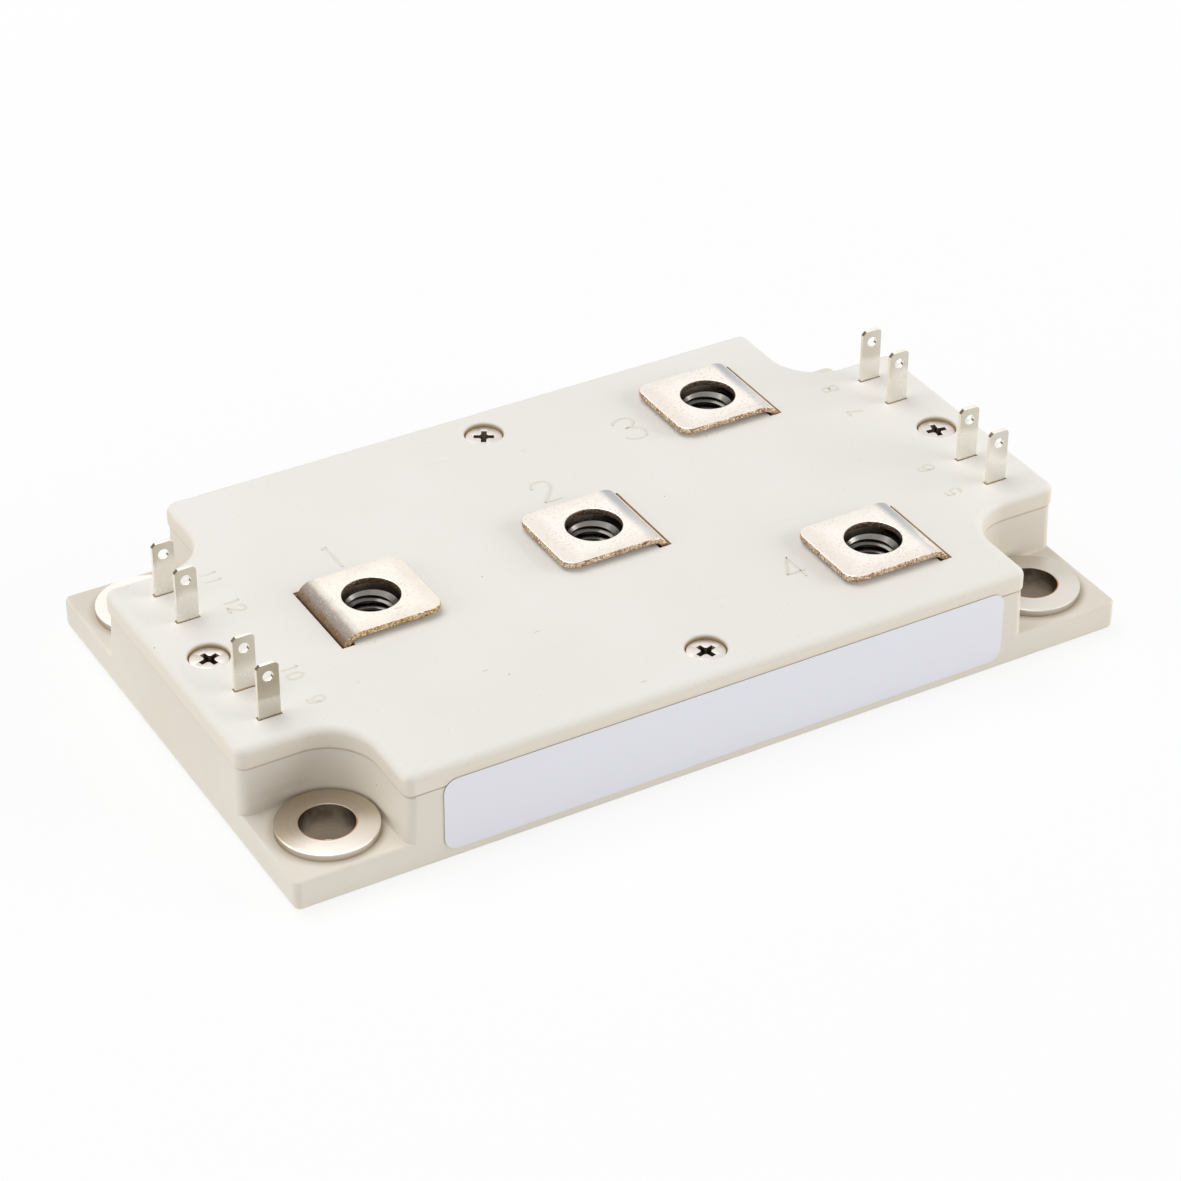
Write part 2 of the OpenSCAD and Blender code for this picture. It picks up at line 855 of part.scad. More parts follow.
// Middle and size of each chip along the outer tracks: two transistors and a diode
function chip_row(side) =
    let (
        edge = side * substrate_x - substrate_l / 2 + track_gap,
        first = edge + chip_gap + chip_size / 2,
        second = first + chip_size + chip_gap,
        diode = second + chip_size / 2 + chip_gap + diode_size / 2
    )
    [[first, chip_size], [second, chip_size], [diode, diode_size]];

module chips(side) {
    color("#5a5d66")
        for (c = chip_row(side), m = [0, 1])
            mirror([0, m, 0])
                translate([c[0] - c[1] / 2, chip_y, copper_top_z])
                    cube([c[1], c[1], chip_t]);
}

module chips_left() { chips(-1); }
module chips_right() { chips(1); }

// Bond wires: three half rings from each chip down to the middle track
module wire_arches() {
    mid_y = chip_y + wire_inset - wire_span_r;
    color("#c8c8cc")
        for (side = [-1, 1], c = chip_row(side), k = [-1, 0, 1], m = [0, 1])
            mirror([0, m, 0])
                translate([c[0] + k * c[1] / 3, mid_y, copper_top_z]) {
                    translate([0, 0, chip_t])
                        rotate([90, 0, 90])
                            rotate_extrude(angle = 180)
                                translate([wire_span_r, 0])
                                    circle(d = wire_d, $fn = 16);
                    translate([0, -wire_span_r, 0])
                        cylinder(h = chip_t, d = wire_d, $fn = 16);
                }
}

module bond_wires() { wire_arches(); }

// Soft fill of the case, moulded around everything that stands in it
module gel_fill() {
    color("#cfe0e8", 0.6)
        difference() {
            translate([0, 0, copper_top_z])
                linear_extrude(fill_h)
                    intersection() {
                        cavity_plan(0);
                        square([2 * (cavity_end_x - ledge_l), body_w], center = true);
                    }
            case_bosses();
            nut_wells();
            chips(-1);
            chips(1);
            for (i = [0 : 3])
                placed_terminal(i);
            wire_arches();
        }
}

case();
lid();
base_plate();
label();
bush_front_left();
bush_front_right();
bush_back_left();
bush_back_right();
power_terminal_1();
power_terminal_2();
power_terminal_3();
power_terminal_4();
terminal_nut_1();
terminal_nut_2();
terminal_nut_3();
terminal_nut_4();
signal_tab_5();
signal_tab_6();
signal_tab_7();
signal_tab_8();
signal_tab_9();
signal_tab_10();
signal_tab_11();
signal_tab_12();
lid_screw_front();
lid_screw_back();
lid_screw_left();
lid_screw_right();
substrate_left();
substrate_right();
copper_left();
copper_right();
chips_left();
chips_right();
bond_wires();
gel_fill();
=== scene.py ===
# %% [markdown]
# # A power module in cream plastic and nickel
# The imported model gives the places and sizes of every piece. This lesson dresses it: a moulded
# case and lid with soft edges, turned bushes, bent terminals over threaded nuts, and thin tabs.
# Shapes are worked out in millimetres, and each piece is scaled to metres when it is finished.

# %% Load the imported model
import json
import math

import bmesh
import bpy
from mathutils import Euler, Matrix, Vector


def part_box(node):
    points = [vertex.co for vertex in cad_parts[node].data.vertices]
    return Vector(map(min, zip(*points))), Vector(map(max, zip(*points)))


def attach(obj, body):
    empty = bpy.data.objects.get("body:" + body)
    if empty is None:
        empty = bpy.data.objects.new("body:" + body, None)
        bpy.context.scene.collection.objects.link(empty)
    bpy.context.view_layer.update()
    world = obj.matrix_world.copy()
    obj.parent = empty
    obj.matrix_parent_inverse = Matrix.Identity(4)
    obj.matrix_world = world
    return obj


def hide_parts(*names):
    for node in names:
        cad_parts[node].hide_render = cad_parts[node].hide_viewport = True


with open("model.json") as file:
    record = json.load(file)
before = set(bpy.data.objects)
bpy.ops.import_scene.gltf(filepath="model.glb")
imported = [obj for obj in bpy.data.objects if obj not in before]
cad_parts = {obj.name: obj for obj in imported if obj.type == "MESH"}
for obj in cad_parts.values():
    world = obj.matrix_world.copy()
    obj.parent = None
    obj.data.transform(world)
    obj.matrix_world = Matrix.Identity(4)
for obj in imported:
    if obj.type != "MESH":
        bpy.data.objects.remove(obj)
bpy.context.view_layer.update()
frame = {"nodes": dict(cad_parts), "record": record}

# %% [markdown]
# ## Sizes read from the model
# A node's box tells where it is, so the pieces that stand for it take their places from there
# and can't drift away from the solids. What a box can't tell, such as a radius, is written here.

# %% Sizes of the housing in millimetres
def box_mm(node):
    low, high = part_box(node)
    return low * 1000, high * 1000


case_low, case_high = box_mm("case")
bush_low, bush_high = box_mm("bush_back_right")

END_X, SIDE_Y = case_high.x, case_high.y
FOOT_Z, SEAM_Z, TOP_Z = case_low.z, case_high.z, box_mm("lid")[1].z
FLANGE_Z, WALL_T = 4.05, 2.4
BUSH_X, BUSH_Y = (bush_low.x + bush_high.x) / 2, (bush_low.y + bush_high.y) / 2
BUSH_TOP_Z = bush_high.z
DISC_R = (bush_high.x - bush_low.x) / 2
NOTCH_R, CORNER_R = 6.1, 1.2
WALL_X, WALL_Y = BUSH_X - NOTCH_R, BUSH_Y - NOTCH_R
print(f"half size {END_X:.2f} x {SIDE_Y:.2f}, seam {SEAM_Z:.2f}, top {TOP_Z:.2f}")
print(f"bushes at {BUSH_X:.2f}, {BUSH_Y:.2f}, cut-out walls at {WALL_X:.2f}, {WALL_Y:.2f}")

# %% Places of the terminals, screws and tabs
def top_middle(node):
    """The middle of a node's box, at the height of its top."""
    low, high = box_mm(node)
    return Vector(((low.x + high.x) / 2, (low.y + high.y) / 2, high.z))


TERMINALS = {number: top_middle(f"terminal_nut_{number}") for number in (1, 2, 3, 4)}
TERMINAL_LOW, TERMINAL_HIGH = box_mm("power_terminal_2")
TERMINAL_TOP = TERMINAL_HIGH.z
BEND_X = TERMINAL_HIGH.x - TERMINALS[2].x
BAR_T, BAR_W = 0.8, TERMINAL_HIGH.y - TERMINAL_LOW.y
print("terminal holes:", {n: (round(p.x, 2), round(p.y, 2)) for n, p in TERMINALS.items()})

SCREWS = {side: top_middle(f"lid_screw_{side}") for side in ("front", "back", "left", "right")}
low, high = box_mm("lid_screw_right")
SCREW_R = (high.x - low.x) / 2

TABS = {}
for number in range(5, 13):
    low, high = box_mm(f"signal_tab_{number}")
    TABS[number] = (low, high, low.y if low.y < 0 else high.y)
TAB_W, TAB_T = high.x - low.x, 0.5
print("screws:", len(SCREWS), "tabs:", len(TABS))

# %% [markdown]
# ## Camera
# The photograph was taken with a long lens from the front left, about 34 degrees above the
# table. A long lens keeps the long edges almost parallel, which matters more than the distance.

# %% Camera
CAMERA_PLACE = (-0.176786, -0.305887, 0.246665)
ELEVATION, SIDE_TURN, ROLL = 34.351, -30.039, 0.258

camera_data = bpy.data.cameras.new("camera")
camera_data.sensor_width, camera_data.lens = 36, 110.56
camera = bpy.data.objects.new("camera", camera_data)
camera.location = CAMERA_PLACE
aim = Euler((math.radians(90 - ELEVATION), 0, math.radians(SIDE_TURN))).to_matrix()
camera.rotation_euler = (aim @ Matrix.Rotation(math.radians(ROLL), 3, "Z")).to_euler()
bpy.context.scene.collection.objects.link(camera)
bpy.context.scene.camera = camera
print("camera at", [round(v, 3) for v in camera.location])

# %% [markdown]
# ## Light
# A table shot like this one is lit by big soft boxes, so shadows are faint and every edge has
# a broad highlight. Large area lamps do the same: one high behind, one low at each side. A
# photographed room as the world would be quicker, but it can't be placed edge by edge.

# %% Lamps
def soft_lamp(name, place, size, watts):
    """A rectangular area lamp that looks at the middle of the module."""
    lamp = bpy.data.lights.new(name, "AREA")
    lamp.shape = "RECTANGLE"
    lamp.size, lamp.size_y = size
    lamp.energy = watts
    holder = bpy.data.objects.new(name, lamp)
    holder.location = place
    holder.rotation_euler = (-Vector(place)).to_track_quat("-Z", "Y").to_euler()
    bpy.context.scene.collection.objects.link(holder)


soft_lamp("key", (-0.22, 0.28, 0.8), (0.8, 0.6), 3.8)
soft_lamp("front", (0.66, -0.43, 0.28), (0.6, 0.45), 3.2)
soft_lamp("side", (-0.85, 0.1, 0.3), (0.5, 0.4), 1.5)

# %% [markdown]
# ## Materials as expressions
# Node trees get long when every sum is two lines of links. Here a small class wraps one socket,
# and Python's operators add the Math node they stand for. One method, `node`, adds any other
# node: its settings come first, then what goes into its sockets.

# %% A socket that can be calculated with
def srgb(text):
    """A web colour such as "eae3d6" as the linear numbers that a shader wants."""
    values = [int(text[k:k + 2], 16) / 255 for k in (0, 2, 4)]
    return tuple(v / 12.92 if v <= 0.04045 else ((v + 0.055) / 1.055) ** 2.4 for v in values)


class Field:
    def __init__(self, tree, socket):
        self.tree, self.socket = tree, socket

    def node(self, kind, settings=None, out=0, **inputs):
        """Sockets are given by name, with _ for a space, or by number as i0, i1 and so on."""
        made = self.tree.nodes.new(kind)
        for key, value in (settings or {}).items():
            setattr(made, key, value)
        for key, value in inputs.items():
            numbered = key[0] == "i" and key[1:].isdigit()
            target = made.inputs[int(key[1:]) if numbered else key.replace("_", " ")]
            if isinstance(value, Field):
                self.tree.links.new(value.socket, target)
            else:
                target.default_value = value
        return Field(self.tree, made.outputs[out])

    def math(self, operation, *others):
        values = {f"i{k}": v for k, v in enumerate((self, *others))}
        return self.node("ShaderNodeMath", {"operation": operation}, **values)

    def reflected(self, operation, other):
        return self.node("ShaderNodeMath", {"operation": operation}, i0=other, i1=self)

    def __add__(self, other): return self.math("ADD", other)
    def __sub__(self, other): return self.math("SUBTRACT", other)
    def __mul__(self, other): return self.math("MULTIPLY", other)
    def __truediv__(self, other): return self.math("DIVIDE", other)
    def __abs__(self): return self.math("ABSOLUTE")
    def __rsub__(self, other): return self.reflected("SUBTRACT", other)
    def __rtruediv__(self, other): return self.reflected("DIVIDE", other)
    __radd__, __rmul__ = __add__, __mul__

    def high(self, other): return self.math("MAXIMUM", other)
    def root(self): return self.math("SQRT")

    def step(self, start, end, low=0.0, high=1.0):
        """Rises softly from low at start to high at end, and stays level beyond them."""
        return self.node("ShaderNodeMapRange", {"interpolation_type": "SMOOTHSTEP"},
                         Value=self, From_Min=start, From_Max=end, To_Min=low, To_Max=high)

    def tint(self, first, second):
        """Mix two colours by this share; each is a Field or a web colour."""
        shades = {f"i{k}": (*srgb(s), 1) if isinstance(s, str) else s
                  for k, s in ((6, first), (7, second))}
        return self.node("ShaderNodeMix", {"data_type": "RGBA"}, out=2, i0=self, **shades)

    def noise(self, scale, detail, rough=0.5):
        return self.node("ShaderNodeTexNoise", Vector=self, Scale=scale, Detail=detail,
                         Roughness=rough)

    def at(self, turn=(0, 0, 0), scale=(1, 1, 1)):
        return self.node("ShaderNodeMapping", Vector=self, Rotation=turn, Scale=scale)

    def parts(self):
        split = self.node("ShaderNodeSeparateXYZ", Vector=self).socket.node
        return [Field(self.tree, s) for s in split.outputs]

    def attribute(self, name):
        return self.node("ShaderNodeAttribute", {"attribute_name": name}, out=2)

    def bumps(self, distance, strength):
        return self.node("ShaderNodeBump", Height=self, Distance=distance, Strength=strength)


print("cream in linear numbers:", [round(v, 3) for v in srgb("eae3d6")])

# %% [markdown]
# A finish is a function from the spot on the piece to the shader's inputs. `finish_of` makes the
# material, hands that spot over in millimetres, links what comes back, and prints how many nodes
# that took. What is the same all over the piece is set on the shader's own socket.

# %% From a finish to a material
def blank_material(name, **constants):
    material = bpy.data.materials.new(name)
    material.use_nodes = True
    shader = next(n for n in material.node_tree.nodes if n.type == "BSDF_PRINCIPLED")
    for key, value in constants.items():
        shader.inputs[key.replace("_", " ")].default_value = value
    return material, material.node_tree, shader


def object_place(tree):
    return Field(tree, tree.nodes.new("ShaderNodeTexCoord").outputs["Object"])


def finish_of(name, make, **constants):
    material, tree, shader = blank_material(name, **constants)
    place = object_place(tree).at(scale=(1000, 1000, 1000))
    for key, value in make(place).items():
        tree.links.new(value.socket, shader.inputs[key.replace("_", " ")])
    print(f"{name}: {len(tree.nodes)} nodes")
    return material


# %% [markdown]
# ## Floor and world
# The floor and the world look plain white to the camera and to shiny metal, and near the object
# the floor still takes its soft shadow. Light Path tells the kinds of ray apart, and a Mix
# Shader gives the white glow its share.

# %% Floor and world
SHADOW_NEAR, SHADOW_FAR, GLOW_NEAR = 0.07, 0.3, 0.84
FLOOR_DROP, WORLD_LIGHT = 0.0002, 0.35


def emissive_share(tree, share):
    path = tree.nodes.new("ShaderNodeLightPath")
    rays = [Field(tree, path.outputs[k]) for k in ("Is Camera Ray", "Is Glossy Ray",
                                                   "Is Transmission Ray")]
    return rays[0].high(rays[1]).high(rays[2]) * share


def floor_white():
    material, tree, shader = blank_material("floor_white", Base_Color=(1, 1, 1, 1),
                                            Roughness=1, Specular_IOR_Level=0)
    place = object_place(tree)
    away = place.node("ShaderNodeVectorMath", {"operation": "LENGTH"}, out=1, i0=place)
    share = emissive_share(tree, away.step(SHADOW_NEAR, SHADOW_FAR, GLOW_NEAR, 1.0))
    glow = share.node("ShaderNodeEmission", Color=(1, 1, 1, 1), Strength=1.0)
    mixed = share.node("ShaderNodeMixShader", i0=share, i1=Field(tree, shader.outputs[0]),
                       i2=glow)
    tree.links.new(mixed.socket, tree.nodes["Material Output"].inputs[0])
    return material


floor_bm = bmesh.new()
bmesh.ops.create_grid(floor_bm, x_segments=1, y_segments=1, size=4)
floor_mesh = bpy.data.meshes.new("floor")
floor_bm.to_mesh(floor_mesh)
floor_mesh.materials.append(floor_white())
floor = bpy.data.objects.new("floor", floor_mesh)
floor.location.z = -FLOOR_DROP
bpy.context.scene.collection.objects.link(floor)

world = bpy.data.worlds.new("studio")
bpy.context.scene.world = world
world.use_nodes = True
sky = world.node_tree.nodes["Background"]
sky.inputs["Color"].default_value = (1, 1, 1, 1)
seen = emissive_share(world.node_tree, 1 - WORLD_LIGHT) + WORLD_LIGHT
world.node_tree.links.new(seen.socket, sky.inputs["Strength"])
bpy.context.scene.view_settings.view_transform = "Standard"
print("floor at", round(floor.location.z * 1000, 2), "mm")

# %% [markdown]
# ## Cream plastic
# The case and lid are moulded in a filled plastic: pale cream, slightly glossy, with a very
# fine grain, a few dark specks from handling and thin grey scuffs. The body of the colour stays
# calm, because the eye reads strong mottling as stone.

# %% Marks of handling
SMEAR, SCUFF, SPECK = "b89c7c", "8f8a80", "5c5348"
print("smears, scuffs and specks:", SMEAR, SCUFF, SPECK)


def dots(place, scale, core, rim):
    """Small round spots at random: 1 inside the core radius, 0 beyond the rim."""
    cells = place.node("ShaderNodeTexVoronoi", {"feature": "F1"}, Vector=place, Scale=scale)
    return 1 - cells.step(core, rim)


def handled(place, colour, scuffs):
    """Pale brown smears, thin grey scuffs, dust and a few dark specks."""
    smears = dots(place.at(turn=(0.2, 0.1, 0.4), scale=(0.22, 0.9, 0.9)), 0.5, 0.03, 0.06)
    smears = smears * place.noise(0.13, 1).step(0.56, 0.6)
    colour = (smears * 0.4).tint(colour, SMEAR)
    streak = place.at(turn=(0.3, 0.2, 0.9), scale=(0.03, 0.9, 0.4)).noise(1.0, 4, 0.6)
    scuff = streak.step(0.62, 0.74) * place.noise(0.08, 2).step(0.5, 0.62) * scuffs
    colour = (scuff * 0.3).tint(colour, SCUFF)
    dust = dots(place, 1.1, 0.04, 0.09) * place.noise(0.5, 1).step(0.5, 0.56)
    specks = dots(place, 0.3, 0.018, 0.04) * place.noise(0.23, 1).step(0.55, 0.59)
    return (dust * 0.3).high(specks * 0.75).tint(colour, SPECK), scuff


# %% [markdown]
# A painted shadow darkens a ring round the foot of each bush, and a painted shade line runs in
# the seam under the lid. The seam's line is thinner on the long sides, where lid and case are
# flush.

# %% Plastic finishes
def around_bush(place):
    """The distance from the axis of the nearest bush, and the height."""
    x, y, z = place.parts()
    dx, dy = abs(x) - BUSH_X, abs(y) - BUSH_Y
    return (dx * dx + dy * dy).root(), z


def painted_shade_at_bushes_and_seam(place, bush_shadow):
    radius, z = around_bush(place)
    ring = (1 - radius.step(5.8, 7.0)) * (1 - z.step(4.2, 5.2))
    flush = abs(place.parts()[1]).step(SIDE_Y - 0.06, SIDE_Y - 0.03)
    seam = (z - flush * 0.24).step(SEAM_Z - 0.4, SEAM_Z - 0.3) * (0.4 - flush * 0.1)
    return (ring * bush_shadow).high(seam)


def plastic(body, shade, scuffs=0.0, bush_shadow=0.0, painted_low_shade=None):
    """The tuple for the low side gives how deep under the top a painted warm shade begins, how
    strong it is, and which colour.
    """
    def make(place):
        cloud = place.noise(0.05, 3).step(0.35, 0.65)
        colour = (cloud * 0.6).tint(body, shade)
        # painted warm shade on the low side, below the top
        if painted_low_shade:
            depth, strength, warm = painted_low_shade
            z = place.parts()[2]
            colour = z.step(TOP_Z - depth, TOP_Z - 0.02, strength, 0).tint(colour, warm)
        # painted shadow round the bushes and painted shade in the seam
        if bush_shadow:
            colour = painted_shade_at_bushes_and_seam(place, bush_shadow).tint(colour, "a08a6a")
        colour, scuff = handled(place, colour, scuffs)
        grain = place.noise(9.0, 2)
        relief = grain * 0.5 + place.noise(2.2, 2)
        return {"Base_Color": colour, "Roughness": (grain - 0.5) * 0.12 + 0.48 + scuff * 0.15,
                "Normal": relief.bumps(0.000012, 0.5)}
    return make


LID_SHADES = ("f4f1eb", "f1ede6")
case_plastic = finish_of("case_plastic", plastic("eae3d6", "e5dccd", 0.3, 0.5))
# a painted warm shade on the lid's sides, a painted brown shade in the screws' counterbores
lid_plastic = finish_of("lid_plastic", plastic(*LID_SHADES, 0.2, painted_low_shade=(1.1, 0.9, "ebe2d2")))
counterbore_shaded_plastic = finish_of("lid_counterbore", plastic(*LID_SHADES, painted_low_shade=(0.45, 0.95, "b09a74")))
number_plastic = finish_of("number_plastic", plastic("ece6db", "e5ddcf"))

# %% [markdown]
# ## Nickel
# The terminals are stamped from copper sheet and plated with nickel: warm white, brushed, with
# fine scratches and pits. One finish serves all the plated and steel pieces, with its shades
# and its gloss as parameters, and a place for what only one kind of piece shows.

# %% Brushed metal
FRECKLE, PIT = "c4ad97", "6b5a45"
print("freckles and pits:", FRECKLE, PIT)


def worn_plating(place, colour, mottle):
    """Tan freckles in patches, pits, and thin slanting scratches."""
    patch = place.noise(0.3, 2).step(0.4, 0.6) * 0.6 + 0.4
    freckles = place.noise(3.0, 3, 0.6).step(0.5, 0.68)
    colour = (freckles * patch * mottle).tint(colour, FRECKLE)
    pits = dots(place, 1.3, 0.04, 0.1) * place.noise(1.1, 2).step(0.5, 0.56)
    scratch = place.at(turn=(0, 0, 0.6), scale=(0.25, 2.6, 1)).noise(1.1, 2).step(0.7, 0.73)
    return (pits * 0.6).high(scratch * 0.35).tint(colour, PIT)


def brushed(light, dark, rough, along=(1.0, 0.04, 1.0), mottle=0.0, more=None):
    def make(place):
        lines = place.at(scale=along).noise(6.0, 3, 0.6)
        stain = place.noise(0.35, 3, 0.6).step(0.35, 0.7)
        colour = (lines * 0.3 + stain * 0.3).tint(light, dark)
        if mottle:
            colour = worn_plating(place, colour, mottle)
        gloss = lines * 0.16 + stain * 0.08 + rough
        if more:
            colour, gloss = more(place, colour, gloss)
        return {"Base_Color": colour, "Roughness": gloss, "Normal": lines.bumps(0.00001, 0.4)}
    return make


def metal(name, light, dark, rough, **options):
    return finish_of(name, brushed(light, dark, rough, **options), Metallic=1.0)


# %% [markdown]
# The terminals' marks follow the bar round its bend, so they read two attributes of the mesh:
# how far along the bar a point lies, counted from the hole, and how far across it. The
# terminal at the left end is warmer in tone, and its bend, which faces left, takes a painted dark
# reflection; the others take a painted pale reflection there.

# %% Marks along a terminal
WARM, DULL, PALE_REFLECTION, GREY_REFLECTION, BROWN = "f3e8d2", "cdbfb1", "9ba0a7", "7a7168", "7a5628"
print("from the free end to the slot:", DULL, PALE_REFLECTION, GREY_REFLECTION, BROWN)


def left_terminal(place):
    """1 on the terminal at the left end, 0 on the others."""
    return 1 - place.parts()[0].step(-20, -19)


def towards_bend(along, start, end):
    """Rises from start to end, both counted back from the outside of the bend."""
    return along.step(BEND_X - start, BEND_X - end)


def bend_bands(place, colour, gloss):
    """A dull rim, a painted reflection at the start of the bend (grey on the left bar, pale on the
    rest), brown in the slot.
    """
    along, across = place.attribute("along"), place.attribute("across")
    left = left_terminal(place)
    wobble = along + (place.noise(0.5, 3) - 0.5) * 0.35
    colour = (left * 0.2).tint(colour, WARM)
    side_rim = abs(across + (place.noise(0.4, 2) - 0.5) * 0.5).step(0.55, 1.1)
    free_end = (along + (place.noise(0.3, 2) - 0.5) * 2.0).step(-3.8, -6.0)
    colour = (side_rim.high(free_end) * 0.28).tint(colour, DULL)
    # painted reflection: a pale band on the bars that bend right, a dark grey one on the left bar
    pale_reflection = towards_bend(wobble, 3.0, 1.9) * (1 - towards_bend(wobble, 1.3, 0.5))
    pale_reflection = pale_reflection * (1 - left) * across.step(-1.2, 0.8, 0.25, 0.75)
    colour = pale_reflection.tint(colour, PALE_REFLECTION)
    grey_reflection = towards_bend(wobble, 2.7, 1.3) * left
    grain = place.noise(7.0, 3, 0.7).step(0.45, 0.75)
    colour = (grey_reflection * (0.95 - grain * 0.3)).tint(colour, GREY_REFLECTION)
    brown = towards_bend(wobble, 0.75, 0.1)
    crumbs = place.noise(3.0, 3, 0.6).step(0.4, 0.6)
    colour = (brown * (crumbs * 0.4 + 0.4)).tint(colour, BROWN)
    return colour, gloss + grey_reflection * 0.15 + brown * 0.15


# %% [markdown]
# The tabs take a painted dark reflection towards their tips, each one from its own height, and
# the front left one takes the most. Where a punch sheared a bar, the edge is rough and brown: it
# gets a finish of its own, so that the rough band follows the bar's thickness exactly.

# %% Marks on tabs and sheared edges
def painted_tip_reflection(place, colour, gloss):
    x, y, z = place.parts()
    edge = z + (place.noise(0.12, 1) - 0.5) * 8.0
    # painted dark reflection towards each tab's tip, strongest on the front left tab
    tip_reflection = edge.step(TOP_Z + 2.6, TOP_Z + 4.2)
    colour = (tip_reflection * 0.7).tint(colour, "c9c2b4")
    front_left = (1 - x.step(-44, -43)) * (1 - y.step(-12, -11))
    upper = (z + (place.noise(0.5, 2) - 0.5) * 0.6).step(TOP_Z + 2.3, TOP_Z + 2.8)
    colour = (front_left * (upper * 0.35 + 0.3)).tint(colour, "a2967f")
    return colour, gloss + tip_reflection * 0.05


def sheared(shadow):
    """Brown and tan crumbs with bright grit; shadow darkens the wall of a punched hole."""
    def make(place):
        crumbs = place.noise(3.4, 2, 0.55)
        grit = place.noise(5.2, 2, 0.5)
        tone = place.noise(0.9, 3, 0.65).step(0.38, 0.62)
        colour = tone.tint("b08c6a", "dac1a5")
        colour = (left_terminal(place) * 0.55).tint(colour, "cba35c")
        colour = (crumbs.step(0.5, 0.6) * 0.75).tint(colour, "62401f")
        colour = (grit.step(0.55, 0.62) * 0.85).tint(colour, "fdf3e2")
        if shadow:
            colour = (tone * 0.2 + shadow).tint(colour, "3a2818")
        return {"Base_Color": colour, "Roughness": crumbs * 0.3 + 0.3,
                "Normal": (crumbs + grit * 0.5).bumps(0.0002, 0.8)}
    return make


nickel = metal("plated_terminal", "fdf8f2", "ede4d7", 0.22, mottle=0.5, more=bend_bands)
shear_brown = finish_of("sheared_edge", sheared(0), Metallic=0.75)
punch_brown = finish_of("punched_hole", sheared(0.6), Metallic=0.75)
tab_metal = metal("plated_tab", "f1eee6", "dcd8cc", 0.2, more=painted_tip_reflection)
# painted highlight on the tabs' edges, painted dark reflection on their cut corners and burrs
tab_edge_highlight = metal("tab_edge_highlight", "fbf5ea", "e6dccb", 0.25)
tab_cut_dark_reflection = metal("tab_cut_dark_reflection", "7d6c58", "43382c", 0.35)

# %% [markdown]
# ## Turned metal
# A lathe leaves fine rings, so a bush's lines run round its own axis. The half of each disc that
# faces the body is tarnished and takes a painted dark reflection of the body, most of all on the
# front bushes. The disc's side takes a painted dark reflection, and the bore a painted shade.

# %% Bush finish
def tarnish_and_reflection(x, y, outward):
    """Tarnish with a painted dark reflection of the body: full towards it on the front left bush,
    fainter on the right and at the back.
    """
    sheltered = (1 - outward.step(-0.1, 0.85)) * (1 - x.step(-1, 1) * 0.45)
    return sheltered * (1 - y.step(-1, 1) * 0.85)


def turned(light, dark):
    def make(place):
        radius, z = around_bush(place)
        x, y, _ = place.parts()
        outward = (abs(y) - BUSH_Y) / radius
        rings = radius.node("ShaderNodeCombineXYZ", X=radius * 4.0, Y=z * 4.0)
        lines = rings.noise(3.0, 3, 0.7)
        colour = (lines * 0.5).tint(light, dark)
        # tarnish and a painted dark reflection on the half of the disc that faces the body
        colour = (tarnish_and_reflection(x, y, outward) * (lines * 0.4 + 0.5)).tint(colour, "a19073")
        front_right = x.step(-1, 1) * (1 - y.step(-1, 1))
        colour = (front_right * 0.45).tint(colour, "c0bcb4")
        # painted dark reflection on the disc's side, below its rim
        below_rim = 1 - z.step(BUSH_TOP_Z - 0.2, BUSH_TOP_Z - 0.1)
        side = radius.step(DISC_R - 0.1, DISC_R - 0.04) * below_rim
        colour = (side * 0.6).tint(colour, "9c917e")
        # painted shade in the bore, darker and mottled towards its top
        bore_shade = (1 - radius.step(3.2, 3.3)) * (1 - z.step(BUSH_TOP_Z - 0.16, BUSH_TOP_Z - 0.1))
        colour = (bore_shade * 0.9).tint(colour, (lines * 0.8).tint("92846f", "54463a"))
        bore_mottle = place.noise(0.6, 3).step(0.35, 0.65) * 0.35 + 0.4
        colour = (bore_shade * z.step(1.2, 4.0) * bore_mottle).tint(colour, "2f241a")
        rusty = (1 - radius.step(3.27, 3.4)) * (1 - bore_shade) * outward.step(0, 0.5)
        colour = (rusty * 0.75).tint(colour, "c87a3e")
        return {"Base_Color": colour, "Roughness": lines * 0.22 + 0.24,
                "Normal": lines.bumps(0.00004, 0.5)}
    return make


bush_metal = finish_of("bush_metal", turned("fcf6ef", "dfd6ca"), Metallic=1.0)
# the nuts' dark greys are painted shade and painted dark reflection inside the terminals' holes
nut_steel = metal("nut_steel", "6f6a64", "45413c", 0.12)
nut_seat = metal("nut_seat", "8f8a85", "4d4945", 0.14)
screw_steel = metal("screw_steel", "eae3de", "c2bbb4", 0.26)
# painted shade for the inside of the screws' crossed recesses
recess_painted_shade = metal("recess_painted_shade", "5a4d40", "2b231c", 0.3)
plate_metal = metal("plated_copper", "c9cdd2", "b9bbbe", 0.25, along=(0.04, 1.0, 1.0))

# %% [markdown]
# ## Label and inner finishes
# The label is a bare white film with a faint fibre in it. The circuit under the lid keeps its
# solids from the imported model, so those nodes only get a better material in their slots.

# %% Label and inner finishes
def film(place):
    fibre = place.noise(5.0, 3)
    return {"Base_Color": (fibre * 0.3).tint("efeff6", "e8e8f0"),
            "Roughness": fibre * 0.1 + 0.5, "Normal": place.noise(1.5, 2).bumps(0.00001, 0.3)}


def stained(light, dark, rough):
    def make(place):
        cloud = place.noise(0.9, 3)
        return {"Base_Color": cloud.tint(light, dark), "Roughness": cloud * 0.15 + rough,
                "Normal": place.noise(6.0, 2).bumps(0.00001, 0.4)}
    return make


label_film = finish_of("label_film", film)
